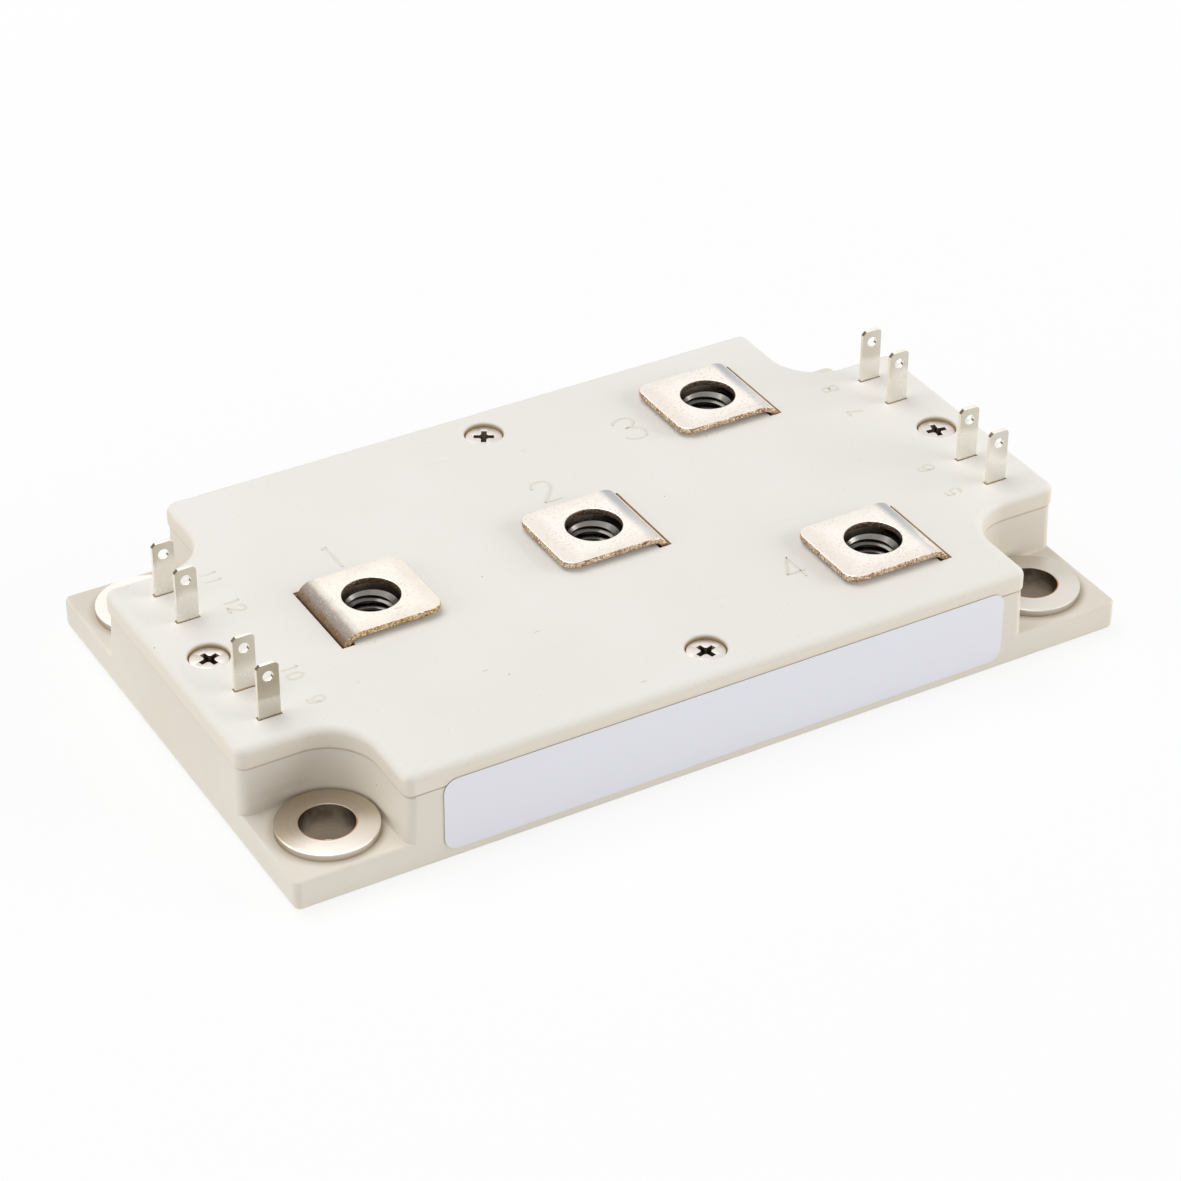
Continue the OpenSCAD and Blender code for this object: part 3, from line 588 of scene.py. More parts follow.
# glue and dust on the label's edge, with a painted shadow along it
glue_and_shadow_edge = finish_of("label_edge", stained("b9a48c", "8e7a63", 0.5))
slot_dirt = finish_of("slot_dirt", stained("d3bb90", "a08052", 0.6))
INNER_LOOKS = {
    "substrate_ceramic": ("f4f3ef", "e6e4de", 0.5, {}),
    "track_copper": ("d08a5c", "b06a40", 0.3, {"Metallic": 1.0}),
    "silicon": ("6a6d75", "4c4f58", 0.15, {}),
    "wire_aluminium": ("d6d6d8", "b9b9bc", 0.3, {"Metallic": 1.0}),
    "soft_gel": ("dbe6ea", "cbd9df", 0.1, {"Transmission_Weight": 0.7, "IOR": 1.41}),
}
inner = {name: finish_of(name, stained(light, dark, rough), **constants)
         for name, (light, dark, rough, constants) in INNER_LOOKS.items()}
inner["plated_copper"] = plate_metal
for part in frame["record"]["subparts"]:
    if part["material_slot"] in inner:
        slots = frame["nodes"][part["node"]].data.materials
        for k in range(len(slots)):
            slots[k] = inner[part["material_slot"]]
print("inner finishes:", len(inner))

# %% [markdown]
# ## Working with pieces
# Each piece starts as a bmesh and is grown with operators. These helpers move and turn it, pick
# its edges by direction or height, and round them.

# %% Moving, picking and rounding
NEAR, WELD = 0.01, 1e-4
print(f"heights within {NEAR} mm count as one, points within {WELD} mm are welded")


def moved(bm, shift, verts=None):
    bmesh.ops.translate(bm, vec=Vector(shift), verts=verts or bm.verts)
    return bm


def rotated(bm, degrees, axis="Z"):
    bmesh.ops.rotate(bm, cent=(0, 0, 0), matrix=Matrix.Rotation(math.radians(degrees), 3, axis),
                     verts=bm.verts)
    return bm


def edges_along(bm, axis, where=lambda end: True):
    """Edges that run along an axis (0, 1 or 2) and start where asked."""
    found = []
    for edge in bm.edges:
        start, end = (v.co for v in edge.verts)
        run = end - start
        if abs(run[axis]) > 0.999 * run.length and where(start):
            found.append(edge)
    return found


def edges_at(bm, height):
    return [e for e in bm.edges if all(abs(v.co.z - height) < NEAR for v in e.verts)]


def round_edges(bm, edges, radius, segments):
    bmesh.ops.bevel(bm, geom=list(edges), offset=radius, offset_type="OFFSET",
                    segments=segments, profile=0.5, affect="EDGES", material=-1,
                    clamp_overlap=False)


# %% [markdown]
# Rods, blocks and turned sections are the raw material. `carved` cuts one mesh out of another,
# or adds it, and gives the new faces a material number of their own.

# %% Blocks, rods and turned sections
def as_mesh(bm, name):
    mesh = bpy.data.meshes.new(name)
    bm.to_mesh(mesh)
    bm.free()
    return mesh


def joined(parts):
    whole = bmesh.new()
    for part in parts:
        whole.from_mesh(as_mesh(part, "part"))
    return whole


def block(low, high):
    bm = bmesh.new()
    bmesh.ops.create_cube(bm, size=1)
    low, high = Vector(low), Vector(high)
    bmesh.ops.scale(bm, vec=high - low, verts=bm.verts)
    return moved(bm, (low + high) / 2)


def rod(radius, low, high, segments=64, top_radius=None):
    bm = bmesh.new()
    bmesh.ops.create_cone(bm, cap_ends=True, segments=segments, radius1=radius,
                          radius2=radius if top_radius is None else top_radius,
                          depth=high - low)
    return moved(bm, (0, 0, (low + high) / 2))


def half_section(bm, points):
    """A chain of edges through (radius, height) points, to be spun round the upright axis."""
    verts = [bm.verts.new((r, 0, z)) for r, z in points]
    return verts + [bm.edges.new((verts[k - 1], verts[k])) for k in range(1, len(verts))]


def spun(points, steps=96):
    bm = bmesh.new()
    bmesh.ops.spin(bm, geom=half_section(bm, points), cent=(0, 0, 0), axis=(0, 0, 1),
                   dvec=(0, 0, 0), angle=math.tau, steps=steps, use_merge=True)
    bmesh.ops.remove_doubles(bm, verts=bm.verts, dist=WELD)
    bmesh.ops.recalc_face_normals(bm, faces=bm.faces)
    return bm


trial = block((0, 0, 0), (4, 2, 1))
round_edges(trial, edges_along(trial, 2), 0.5, 4)
print("a block with round corners:", len(trial.faces), "faces")
trial.free()


# %% Cutting and joining
def carved(bm, tool, operation="DIFFERENCE", mark=0):
    """Cut the tool out of bm; the new faces take the material number in mark."""
    for face in tool.faces:
        face.material_index = mark
    base = bpy.data.objects.new("base", as_mesh(bm, "base"))
    other = bpy.data.objects.new("tool", as_mesh(tool, "tool"))
    for thing in (base, other):
        for _ in range(3):
            thing.data.materials.append(None)
        bpy.context.scene.collection.objects.link(thing)
    cut = base.modifiers.new("cut", "BOOLEAN")
    cut.object, cut.operation, cut.solver = other, operation, "EXACT"
    graph = bpy.context.evaluated_depsgraph_get()
    result = bmesh.new()
    result.from_mesh(base.evaluated_get(graph).to_mesh())
    for thing in (base, other):
        bpy.data.objects.remove(thing)
    bmesh.ops.remove_doubles(result, verts=result.verts, dist=WELD)
    return result


def at_each(places, make):
    """One mesh with a copy of what make returns at each of the places."""
    return joined([moved(make(p), (p.x, p.y, 0)) for p in places.values()])


trial = carved(block((-2, -2, 0), (2, 2, 1)), rod(1, -1, 2, 32), mark=1)
print("a pierced block:", sum(f.material_index for f in trial.faces), "faces in its hole")
trial.free()

# %% [markdown]
# `piece` turns a finished bmesh into an object that rides with the module and stands for the
# nodes that it names. A live bevel softens its edges where `soft` asks for one.

# %% From a mesh to a piece
def piece(bm, name, materials, slot, *nodes, soft=0.0, smooth=38):
    bmesh.ops.scale(bm, vec=(0.001, 0.001, 0.001), verts=bm.verts)
    for face in bm.faces:
        face.smooth = True
    mesh = as_mesh(bm, name)
    for material in materials:
        mesh.materials.append(material)
    thing = bpy.data.objects.new(name, mesh)
    bpy.context.scene.collection.objects.link(thing)
    if soft:
        bevel = thing.modifiers.new("soft edges", "BEVEL")
        bevel.width, bevel.segments = soft / 1000, 2
        bevel.limit_method, bevel.angle_limit = "ANGLE", math.radians(smooth)
    else:
        mesh.set_sharp_from_angle(angle=math.radians(smooth))
    weighted = thing.modifiers.new("even shading", "WEIGHTED_NORMAL")
    weighted.keep_sharp = True
    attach(thing, "root")
    if nodes:
        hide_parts(*nodes)
    print(f"{name}: {len(mesh.vertices)} points, {len(mesh.polygons)} faces")


# %% [markdown]
# ## The cross-shaped plan
# Seen from above, the lid is a rectangle with its four corners cut away round the mounting
# bushes. The outline could be drawn point by point, but a sheet of three by three fields needs
# only four lengths: its grid lines are moved to the walls of the cut-outs, and the four corner
# fields are deleted.

# %% Cross-shaped block
def nine_fields(end_x, side_y, wall_x, wall_y, z):
    bm = bmesh.new()
    bmesh.ops.create_grid(bm, x_segments=3, y_segments=3, size=3)
    for vert in bm.verts:
        x, y, _ = vert.co
        vert.co = (math.copysign(end_x if abs(x) > 2 else wall_x, x),
                   math.copysign(side_y if abs(y) > 2 else wall_y, y), z)
    return bm


def cross_block(inset, low, high, corner_r):
    """The plan, drawn in by the inset, from one height to another."""
    end_x, side_y, wall_x, wall_y = (v - inset for v in (END_X, SIDE_Y, WALL_X, WALL_Y))
    bm = nine_fields(end_x, side_y, wall_x, wall_y, low)
    middles = {face: face.calc_center_median() for face in bm.faces}
    corners = [f for f, m in middles.items() if abs(m.x) > wall_x and abs(m.y) > wall_y]
    bmesh.ops.delete(bm, geom=corners, context="FACES")
    bmesh.ops.dissolve_faces(bm, faces=bm.faces)
    grown = bmesh.ops.extrude_face_region(bm, geom=list(bm.faces))["geom"]
    moved(bm, (0, 0, high - low), [v for v in grown if isinstance(v, bmesh.types.BMVert)])
    bmesh.ops.recalc_face_normals(bm, faces=bm.faces)
    inner_corners = edges_along(bm, 2, lambda end: abs(end.x) < wall_x + NEAR
                                and abs(end.y) < wall_y + NEAR)
    round_edges(bm, inner_corners, NOTCH_R + inset, 24)
    if corner_r:
        outer = edges_along(bm, 2, lambda end: abs(end.x) > end_x - NEAR
                            or abs(end.y) > side_y - NEAR)
        round_edges(bm, [e for e in outer if e.calc_face_angle(0) > 1], corner_r, 8)
    return bm


trial = cross_block(0, SEAM_Z, TOP_Z, CORNER_R)
print("cross block:", len(trial.faces), "faces")
trial.free()

# %% [markdown]
# ## Lid
# The lid is the cross block with a soft top edge, hollow underneath. Six-sided wells for the
# nuts hang inside it, each with a close pocket that is open at the top. It could be pulled up
# face by face, but openings that are cut out of a finished block leave its soft edge whole.

# %% Lid with its wells
LID_TOP_T, LID_EDGE_R, LID_FOOT_R = 2.0, 1.1, 0.18
NUT_AF, NUT_H = 10, 5.0
POCKET_AF, WELL_WALL, WELL_DEPTH = 10.2, 0.6, 6.8


def hexagon_rod(flats, low, high):
    return rotated(rod(flats / 2 / math.cos(math.radians(30)), low, high, 6), 30)


lid = cross_block(0, SEAM_Z, TOP_Z, CORNER_R)
round_edges(lid, edges_at(lid, TOP_Z), LID_EDGE_R, 7)
round_edges(lid, edges_at(lid, SEAM_Z), LID_FOOT_R, 2)
print("lid blank:", len(lid.faces), "faces")
lid = carved(lid, cross_block(WALL_T, SEAM_Z - 1, TOP_Z - LID_TOP_T, 0))
lid = carved(lid, at_each(TERMINALS, lambda p: hexagon_rod(
    POCKET_AF + 2 * WELL_WALL, TOP_Z - WELL_DEPTH, TOP_Z - 1)), "UNION")
lid = carved(lid, at_each(TERMINALS, lambda p: hexagon_rod(POCKET_AF, p.z - NUT_H, TOP_Z + 1)))

# %% [markdown]
# Terminals and tabs come up through close slots. Round its top each slot has a shallow relief,
# which reads as the thin dark line round the metal, and all its walls take a brown finish,
# because dirt gathers there.

# %% Slots
SLOT_LOW, SLOT_HIGH, SLOT_GAP = 5, 15, 0.03
BAR_SLOT_SHIFT, BAR_SLOT_PLAY = 0.27, 0.25
deep, shallow = [], []


def bend_side(number):
    """Terminal 1 bends down on its left, the others on their right."""
    return -1 if number == 1 else 1


def slot_at(x, y, half_x, half_y, gap, relief):
    for cuts, gap_x, gap_y, floor_z in ((deep, SLOT_GAP, SLOT_GAP, SLOT_LOW),
                                        (shallow, *gap, TOP_Z - relief)):
        cuts.append(block((x - half_x - gap_x, y - half_y - gap_y, floor_z),
                          (x + half_x + gap_x, y + half_y + gap_y, SLOT_HIGH)))


for number, p in TERMINALS.items():
    slot_at(p.x + bend_side(number) * (BEND_X - BAR_T / 2 - BAR_SLOT_SHIFT), p.y,
            BAR_T / 2 + BAR_SLOT_PLAY, BAR_W / 2, (0.15, 0.3), 0.3)
for low, high, outer_y in TABS.values():
    slot_at((low.x + high.x) / 2, outer_y - math.copysign(TAB_T / 2, outer_y),
            TAB_W / 2, TAB_T / 2, (0.12, 0.1), 0.15)
print("slots:", len(deep))
lid = carved(lid, joined(shallow), mark=1)
lid = carved(lid, joined(deep), mark=1)

# %% [markdown]
# The screws' holes are turned cutters: a clearance hole, a cone, and a top that opens like a
# bell. Last of all, the rims of all openings lose their sharp edge.

# %% Screw holes and the finished lid
HEAD_GAP, BELL_R, HEAD_DROP = 0.12, 0.35, 0.5
SHANK_HOLE_R, CONE_H, CUTTER_L = 1.15, 1.1, 3.5
RIM_R = 0.08


def flared(p):
    radius, low = SCREW_R + HEAD_GAP, p.z - HEAD_DROP
    bell = [(radius + BELL_R * (1 - math.cos(a)), TOP_Z - BELL_R + BELL_R * math.sin(a))
            for a in (k * math.pi / 12 for k in range(7))]
    return spun([(0, low - CUTTER_L), (SHANK_HOLE_R, low - CUTTER_L),
                 (SHANK_HOLE_R, low - CONE_H), (radius, low), *bell,
                 (radius + BELL_R, TOP_Z + 1), (0, TOP_Z + 1)], 64)


# the counterbore faces take the painted brown shade
lid = carved(lid, at_each(SCREWS, flared), mark=2)
lid.normal_update()
rims = [e for e in edges_at(lid, TOP_Z) if e.calc_face_angle(0) > 0.7]
round_edges(lid, rims, RIM_R, 2)
piece(lid, "lid_shell", [lid_plastic, slot_dirt, counterbore_shaded_plastic], "lid_plastic", "lid")

# %% [markdown]
# ## Case
# The case is one moulding: a low slab whose corners are the mounting flanges, and the taller
# body between them, whose end and cut-out walls lean in a little so that it leaves its mould.
# The slab is a block with soft edges, the body is the cross again, and the two are joined before
# anything is cut out, as the plastic would flow into both at once.

# %% Slab and body
SLAB_R, SLAB_TOP_R, SLAB_FOOT_R = 0.9, 0.4, 0.8
SEAM_INSET, RIGHT_INSET, SEAM_R = 0.25, 0.05, 0.12


def leaned(x, y):
    """Where a point of the body's plan stands at the seam, after the walls have leaned in."""
    away = Vector((abs(x) - BUSH_X, abs(y) - BUSH_Y))
    if away.length < NOTCH_R + NEAR:
        step = away * (SEAM_INSET / NOTCH_R)
    elif abs(y) > BUSH_Y:
        step = Vector((-SEAM_INSET, 0))
    else:
        step = Vector((-RIGHT_INSET if x > 0 else -SEAM_INSET, -SEAM_INSET))
    return x + math.copysign(1, x) * step.x, y + math.copysign(1, y) * step.y


slab = block((-END_X, -SIDE_Y, FOOT_Z), (END_X, SIDE_Y, FLANGE_Z))
round_edges(slab, edges_along(slab, 2), SLAB_R, 8)
for height, radius in ((FLANGE_Z, SLAB_TOP_R), (FOOT_Z, SLAB_FOOT_R)):
    round_edges(slab, edges_at(slab, height), radius, 4)

body = cross_block(0, 2, SEAM_Z, CORNER_R)
bmesh.ops.bisect_plane(body, geom=[*body.verts, *body.edges, *body.faces], dist=1e-5,
                       plane_co=(0, 0, FLANGE_Z), plane_no=(0, 0, 1))
for vert in body.verts:
    if vert.co.z > SEAM_Z - NEAR:
        vert.co.xy = leaned(vert.co.x, vert.co.y)
round_edges(body, edges_at(body, SEAM_Z), SEAM_R, 2)
case = carved(slab, body, "UNION")
print("case blank:", len(case.verts), "points")

# %% [markdown]
# Where the walls stand on the flange, the mould leaves a small fillet. Its edges are found by
# their height, by lying inside the outline, and by the angle between their faces, which is
# negative in a hollow corner.

# %% Fillet at the foot of the walls
FOOT_FILLET = 0.4
bmesh.ops.dissolve_limit(case, angle_limit=0.01, verts=case.verts, edges=case.edges)
case.normal_update()


def at_foot(edge):
    inside = all(abs(v.co.x) < END_X - CORNER_R + 0.05 and abs(v.co.y) < SIDE_Y - CORNER_R + 0.05
                 for v in edge.verts)
    return inside and edge.is_manifold and edge.calc_face_angle_signed(0) < -0.5


feet = [e for e in edges_at(case, FLANGE_Z) if at_foot(e)]
round_edges(case, feet, FOOT_FILLET, 4)
print("foot edges filled:", len(feet))

# %% [markdown]
# Inside, the case is open from the base plate to the seam. Bosses for the lid's screws and a
# ledge at each end stand in it, and below it has a recess that takes the base plate.

# %% Inside of the case
PLATE_T, PLATE_RIM, PLATE_R = 3.0, 1.0, 2.0
LEDGE_TOP, LEDGE_L, BOSS_R = 6.8, 7.2, 3
BARREL_HOLE_R, PILOT_R, PILOT_DEPTH = 4.35, 1.0, 8.3

case = carved(case, cross_block(WALL_T, PLATE_T, SEAM_Z + 1, 0))
ledges = []
for side in (-1, 1):
    ends = sorted((side * (END_X - WALL_T - LEDGE_L), side * (END_X - WALL_T / 2)))
    half = WALL_Y - WALL_T / 2
    ledges.append(block((ends[0], -half, PLATE_T - 0.5), (ends[1], half, LEDGE_TOP)))
case = carved(case, joined(ledges), "UNION")
case = carved(case, at_each(SCREWS, lambda p: rod(BOSS_R, PLATE_T - 0.5, SEAM_Z - 0.01, 48)),
              "UNION")
tray = block((PLATE_RIM - END_X, PLATE_RIM - SIDE_Y, -1),
             (END_X - PLATE_RIM, SIDE_Y - PLATE_RIM, PLATE_T))
round_edges(tray, edges_along(tray, 2), PLATE_R, 8)
case = carved(case, tray)
holes = [moved(rod(BARREL_HOLE_R, -1, 6), (sx * BUSH_X, sy * BUSH_Y, 0))
         for sx in (-1, 1) for sy in (-1, 1)]
holes.append(at_each(SCREWS, lambda p: rod(PILOT_R, p.z - PILOT_DEPTH, 12, 24)))
case = carved(case, joined(holes))
piece(case, "case_shell", [case_plastic], "case_plastic", "case")

# %% [markdown]
# ## Bushes
# A bush is turned on a lathe: a barrel through the flange and a flat disc on top, with soft
# edges. Spinning its half section round the axis makes it the same way.

# %% Bushes
BARREL_R, BORE_R = 4.3, 3.15
BUSH_SECTION = [
    (BORE_R, 0), (BARREL_R, 0), (BARREL_R, FLANGE_Z), (DISC_R, FLANGE_Z),
    (DISC_R, BUSH_TOP_Z - 0.2), (DISC_R - 0.06, BUSH_TOP_Z - 0.06), (DISC_R - 0.2, BUSH_TOP_Z),
    (BORE_R + 0.12, BUSH_TOP_Z), (BORE_R + 0.03, BUSH_TOP_Z - 0.03), (BORE_R, BUSH_TOP_Z - 0.12),
    (BORE_R, 0),
]
for side, y in (("front", -BUSH_Y), ("back", BUSH_Y)):
    for end, x in (("left", -BUSH_X), ("right", BUSH_X)):
        bush = moved(spun(BUSH_SECTION), (x, y, 0))
        piece(bush, f"turned_bush_{side}_{end}", [bush_metal], "bush_metal",
              f"bush_{side}_{end}", smooth=30)

# %% [markdown]
# ## Terminals
# Each terminal is one flat bar. It starts as the screw face, and its end face is then spun
# through a quarter turn for the bend, pulled down through the lid, narrowed, and bent back to
# the foot that is soldered to the circuit. The hole is punched last. Separate blocks would show
# a joint at each bend, while a face that is carried along keeps the bar one thickness.

# %% The bar
COPPER_TOP_Z, SHOULDER_Z, TAPER = 4.0, TOP_Z - 3, 0.8
LEG_W, FOOT_L = 5.0, 3.0
UPPER_BEND, LOWER_BEND = 2.3, 0.6 + BAR_T
FREE_CORNER_R, BAR_HOLE_R = 1.7, 3.4
print(f"the bend reaches {BEND_X:.2f} mm from the hole, the leg narrows below {SHOULDER_Z:.2f}")


def end_face(bm, direction):
    direction = Vector(direction)
    return max(bm.faces, key=lambda f: (round(f.normal.dot(direction), 2),
                                        f.calc_center_median().dot(direction)))


def pulled(bm, face, shift):
    grown = bmesh.ops.extrude_face_region(bm, geom=[face])["geom"]
    moved(bm, shift, [v for v in grown if isinstance(v, bmesh.types.BMVert)])
    return next(g for g in grown if isinstance(g, bmesh.types.BMFace))


def bent(bm, face, centre, steps):
    """Carry the face through a quarter turn about a line across the bar."""
    geom = [face, *face.edges, *face.verts]
    last = bmesh.ops.spin(bm, geom=geom, cent=centre, axis=(0, 1, 0), dvec=(0, 0, 0),
                          angle=math.radians(90), steps=steps)["geom_last"]
    return next(g for g in last if isinstance(g, bmesh.types.BMFace))


def terminal_bar(face_l):
    top = TERMINAL_TOP
    bend_start, leg_start = BEND_X - UPPER_BEND, top - UPPER_BEND
    bm = block((BEND_X - face_l, -BAR_W / 2, top - BAR_T), (bend_start, BAR_W / 2, top))
    round_edges(bm, edges_along(bm, 2, lambda end: end.x < 0), FREE_CORNER_R, 6)
    bm.normal_update()
    face = bent(bm, end_face(bm, (1, 0, 0)), (bend_start, 0, leg_start), 14)
    face = pulled(bm, face, (0, 0, SHOULDER_Z - leg_start))
    face = pulled(bm, face, (0, 0, -TAPER))
    bmesh.ops.scale(bm, vec=(1, LEG_W / BAR_W, 1), verts=face.verts)
    face = pulled(bm, face, (0, 0, COPPER_TOP_Z + LOWER_BEND - SHOULDER_Z + TAPER))
    face = bent(bm, face, (BEND_X - LOWER_BEND, 0, COPPER_TOP_Z + LOWER_BEND), 9)
    pulled(bm, face, (-FOOT_L, 0, 0))
    walled_in = [f for f in bm.faces if all(len(e.link_faces) > 2 for e in f.edges)]
    bmesh.ops.delete(bm, geom=walled_in, context="FACES_ONLY")
    bmesh.ops.recalc_face_normals(bm, faces=bm.faces)
    return carved(bm, rod(BAR_HOLE_R, top - 2, top + 2, 80), mark=2)


# %% [markdown]
# Before a bar is put in its place, each of its points gets the two lengths that the nickel's
# marks follow, and the faces that the punch sheared get the rough finish.

# %% Marks and places of the terminals
def mark_length(bm):
    """Store where each point lies along and across the bar, for marks that follow its bend."""
    layer = bm.verts.layers.float.new("along")
    side = bm.verts.layers.float.new("across")
    start_x, start_z = BEND_X - UPPER_BEND, TERMINAL_TOP - UPPER_BEND
    for vert in bm.verts:
        x, y, z = vert.co
        vert[side] = 2 * y / BAR_W
        if x < start_x:
            vert[layer] = x
        elif z > start_z:
            vert[layer] = start_x + UPPER_BEND * math.atan2(x - start_x, z - start_z)
        else:
            vert[layer] = start_x + UPPER_BEND * math.pi / 2 + start_z - z


def was_sheared(face):
    """True on the sides and the free end of the bar, above the lid and outside the hole."""
    normal = face.normal
    edge = abs(normal.y) > 0.4 or (abs(normal.z) < 0.3 and normal.x < -0.2)
    return edge and not face.material_index and face.calc_center_median().z > TOP_Z - 2


for number, p in TERMINALS.items():
    low, high = box_mm(f"power_terminal_{number}")
    bar = terminal_bar(high.x - low.x)
    bar.normal_update()
    mark_length(bar)
    for face in bar.faces:
        if was_sheared(face):
            face.material_index = 1
    if bend_side(number) < 0:
        rotated(bar, 180)
    moved(bar, (p.x, p.y, 0))
    piece(bar, f"terminal_bar_{number}", [nickel, shear_brown, punch_brown], "plated_terminal",
          f"power_terminal_{number}", soft=0.12)

# %% [markdown]
# ## Threaded nuts
# Through each terminal's hole the thread of a captive nut can be seen. The thread's profile is
# spun round while it climbs by its pitch on each turn, which makes a tap, and the tap is then
# cut out of a six-sided blank. Bumps alone could hint at a thread, but its turns would not stand
# out against the dark hole.

# %% Tap
PITCH, MINOR_R, MAJOR_R = 1.0, 2.5, 3.0
TURN_STEPS = 36
print(f"thread of {2 * MAJOR_R:.0f} mm that climbs {PITCH:.0f} mm on each turn")


def tap(low, high):
    bm = bmesh.new()
    turns = math.ceil((high - low) / PITCH) + 2
    profile = [(MINOR_R, 0), (MINOR_R, 0.2), (MAJOR_R, 0.53), (MAJOR_R, 0.67), (MINOR_R, PITCH)]
    chain = half_section(bm, [(r, low - PITCH + z) for r, z in profile])
    bmesh.ops.spin(bm, geom=chain, cent=(0, 0, 0), axis=(0, 0, 1),
                   dvec=(0, 0, PITCH / TURN_STEPS), angle=math.tau * turns,
                   steps=TURN_STEPS * turns)
    bmesh.ops.remove_doubles(bm, verts=bm.verts, dist=WELD)
    for height, upper in ((low, False), (high, True)):
        bmesh.ops.bisect_plane(bm, geom=[*bm.verts, *bm.edges, *bm.faces], dist=1e-5,
                               plane_co=(0, 0, height), plane_no=(0, 0, 1),
                               clear_outer=upper, clear_inner=not upper)
    bmesh.ops.holes_fill(bm, edges=[e for e in bm.edges if e.is_boundary], sides=0)
    bmesh.ops.recalc_face_normals(bm, faces=bm.faces)
    return bm


# %% Nuts
NUT_EDGE_R, SEAT_DEPTH, SEAT_WIDER = 0.25, 0.62, 0.42

for number, p in TERMINALS.items():
    blank = hexagon_rod(NUT_AF, p.z - NUT_H, p.z)
    round_edges(blank, edges_at(blank, p.z), NUT_EDGE_R, 2)
    seat = rod(MINOR_R + 0.02, p.z - SEAT_DEPTH, p.z + 0.3, 64, MAJOR_R + SEAT_WIDER)
    blank = carved(blank, seat, mark=1)
    nut = carved(blank, tap(p.z - NUT_H - 0.5, p.z + 0.5))
    moved(nut, (p.x, p.y, 0))
    piece(nut, f"threaded_nut_{number}", [nut_steel, nut_seat], "nut_steel",
          f"terminal_nut_{number}", smooth=30)

# %% [markdown]
# ## Signal tabs
# The tabs are thin stamped blades with a latching hole. One corner is cut and the other is round,
# which a bevel makes with one segment or with five, so no outline has to be drawn. Their feet
# are folded on the ledge inside the case.

# %% Tabs
TAB_FOOT_L, TAB_HOLE_DROP, TAB_HOLE_R = 2.2, 1.55, 0.65
TAB_CORNERS = ((0.45, 1), (0.55, 5))


def tab_blade(low, high, outer_y):
    """A blade and its foot; each corner is given by its size and its number of segments."""
    inward = -math.copysign(1, outer_y)
    y_low, y_high = sorted((outer_y, outer_y + inward * TAB_T))
    blade = block((low.x, y_low, low.z), (high.x, y_high, high.z))
    for edge_x, (size, segments) in zip((low.x, high.x), TAB_CORNERS):
        corner = edges_along(blade, 1, lambda end: end.z > high.z - NEAR
                             and abs(end.x - edge_x) < NEAR)
        round_edges(blade, corner, size, segments)
    blade.normal_update()
    y_low, y_high = sorted((outer_y, outer_y + inward * TAB_FOOT_L))
    foot = block((low.x, y_low, low.z), (high.x, y_high, low.z + TAB_T))
    blade = carved(blade, foot, "UNION")
    punch = rotated(rod(TAB_HOLE_R, -2, 2, 40), 90, "X")
    moved(punch, ((low.x + high.x) / 2, outer_y, high.z - TAB_HOLE_DROP))
    return carved(blade, punch, mark=1)


for number, (low, high, outer_y) in TABS.items():
    blade = tab_blade(low, high, outer_y)
    blade.normal_update()
    # edge faces take the painted highlight, cut corner and burr faces the painted dark reflection
    for face in blade.faces:
        if abs(face.normal.y) < 0.5:
            at_tip = face.calc_center_median().z > high.z - 0.6
            cut_corner = face.normal.x < -0.3 and face.normal.z > 0.3 and at_tip
            burr = -0.97 < face.normal.x < -0.8 and face.normal.z > 0.1
            face.material_index = 2 if cut_corner or burr else 1
    piece(blade, f"tab_blade_{number}", [tab_metal, tab_edge_highlight, tab_cut_dark_reflection], "plated_tab",
          f"signal_tab_{number}", soft=0.06)

# %% [markdown]
# ## Lid screws
# Countersunk screws sit a little below the lid's face. Their crossed recess is really pressed
# with a tool, and cutting such a tool out is easier than shaping the recess face by face: it is
# two bars and a diamond, which together narrow towards the bottom.

# %% Screws
ARM_L, ARM_HALF_W, WEB_R = 1.5, 0.4, 1.05
RECESS_DEPTH, RECESS_OVER, NARROWING = 1.3, 0.3, 0.5
SUNK = 0.22
SCREW_SECTION = [
    (0, -SUNK), (SCREW_R - 0.12, -SUNK), (SCREW_R - 0.03, -SUNK - 0.04), (SCREW_R, -SUNK - 0.12),
    (SCREW_R, -SUNK - 0.25), (1.15, -1.45), (1.0, -1.6), (1.0, -7.4), (0.4, -8), (0, -8),
]
RECESS_TURN = {"front": 15, "left": 15, "back": 60, "right": -10}


def cross_recess():
    bm = block((-ARM_L, -ARM_HALF_W, 0), (ARM_L, ARM_HALF_W, 1))
    bm = carved(bm, block((-ARM_HALF_W, -ARM_L, 0), (ARM_HALF_W, ARM_L, 1)), "UNION")
    bm = carved(bm, rod(WEB_R, 0, 1, 4), "UNION")
    lower = [v for v in bm.verts if v.co.z < 0.5]
    bmesh.ops.scale(bm, vec=(NARROWING, NARROWING, 1), verts=lower)
    moved(bm, (0, 0, -RECESS_DEPTH), lower)
    return moved(bm, (0, 0, RECESS_OVER - 1), [v for v in bm.verts if v.co.z > 0.5])


for side, p in SCREWS.items():
    recess = rotated(cross_recess(), RECESS_TURN[side])
    # the recess faces take the painted shade
    head = carved(spun(SCREW_SECTION, 64), recess, mark=1)
    piece(moved(head, p), f"crossed_screw_{side}", [screw_steel, recess_painted_shade], "screw_steel",
          f"lid_screw_{side}", soft=0.04, smooth=30)

# %% [markdown]
# ## Pin numbers
# Small numbers are moulded into the lid beside each pin: thin raised strokes that only show by
# their shade. Each digit is a few curves with a round bevel, pressed flat and half sunk into
# the lid, because a printed font would be too heavy.

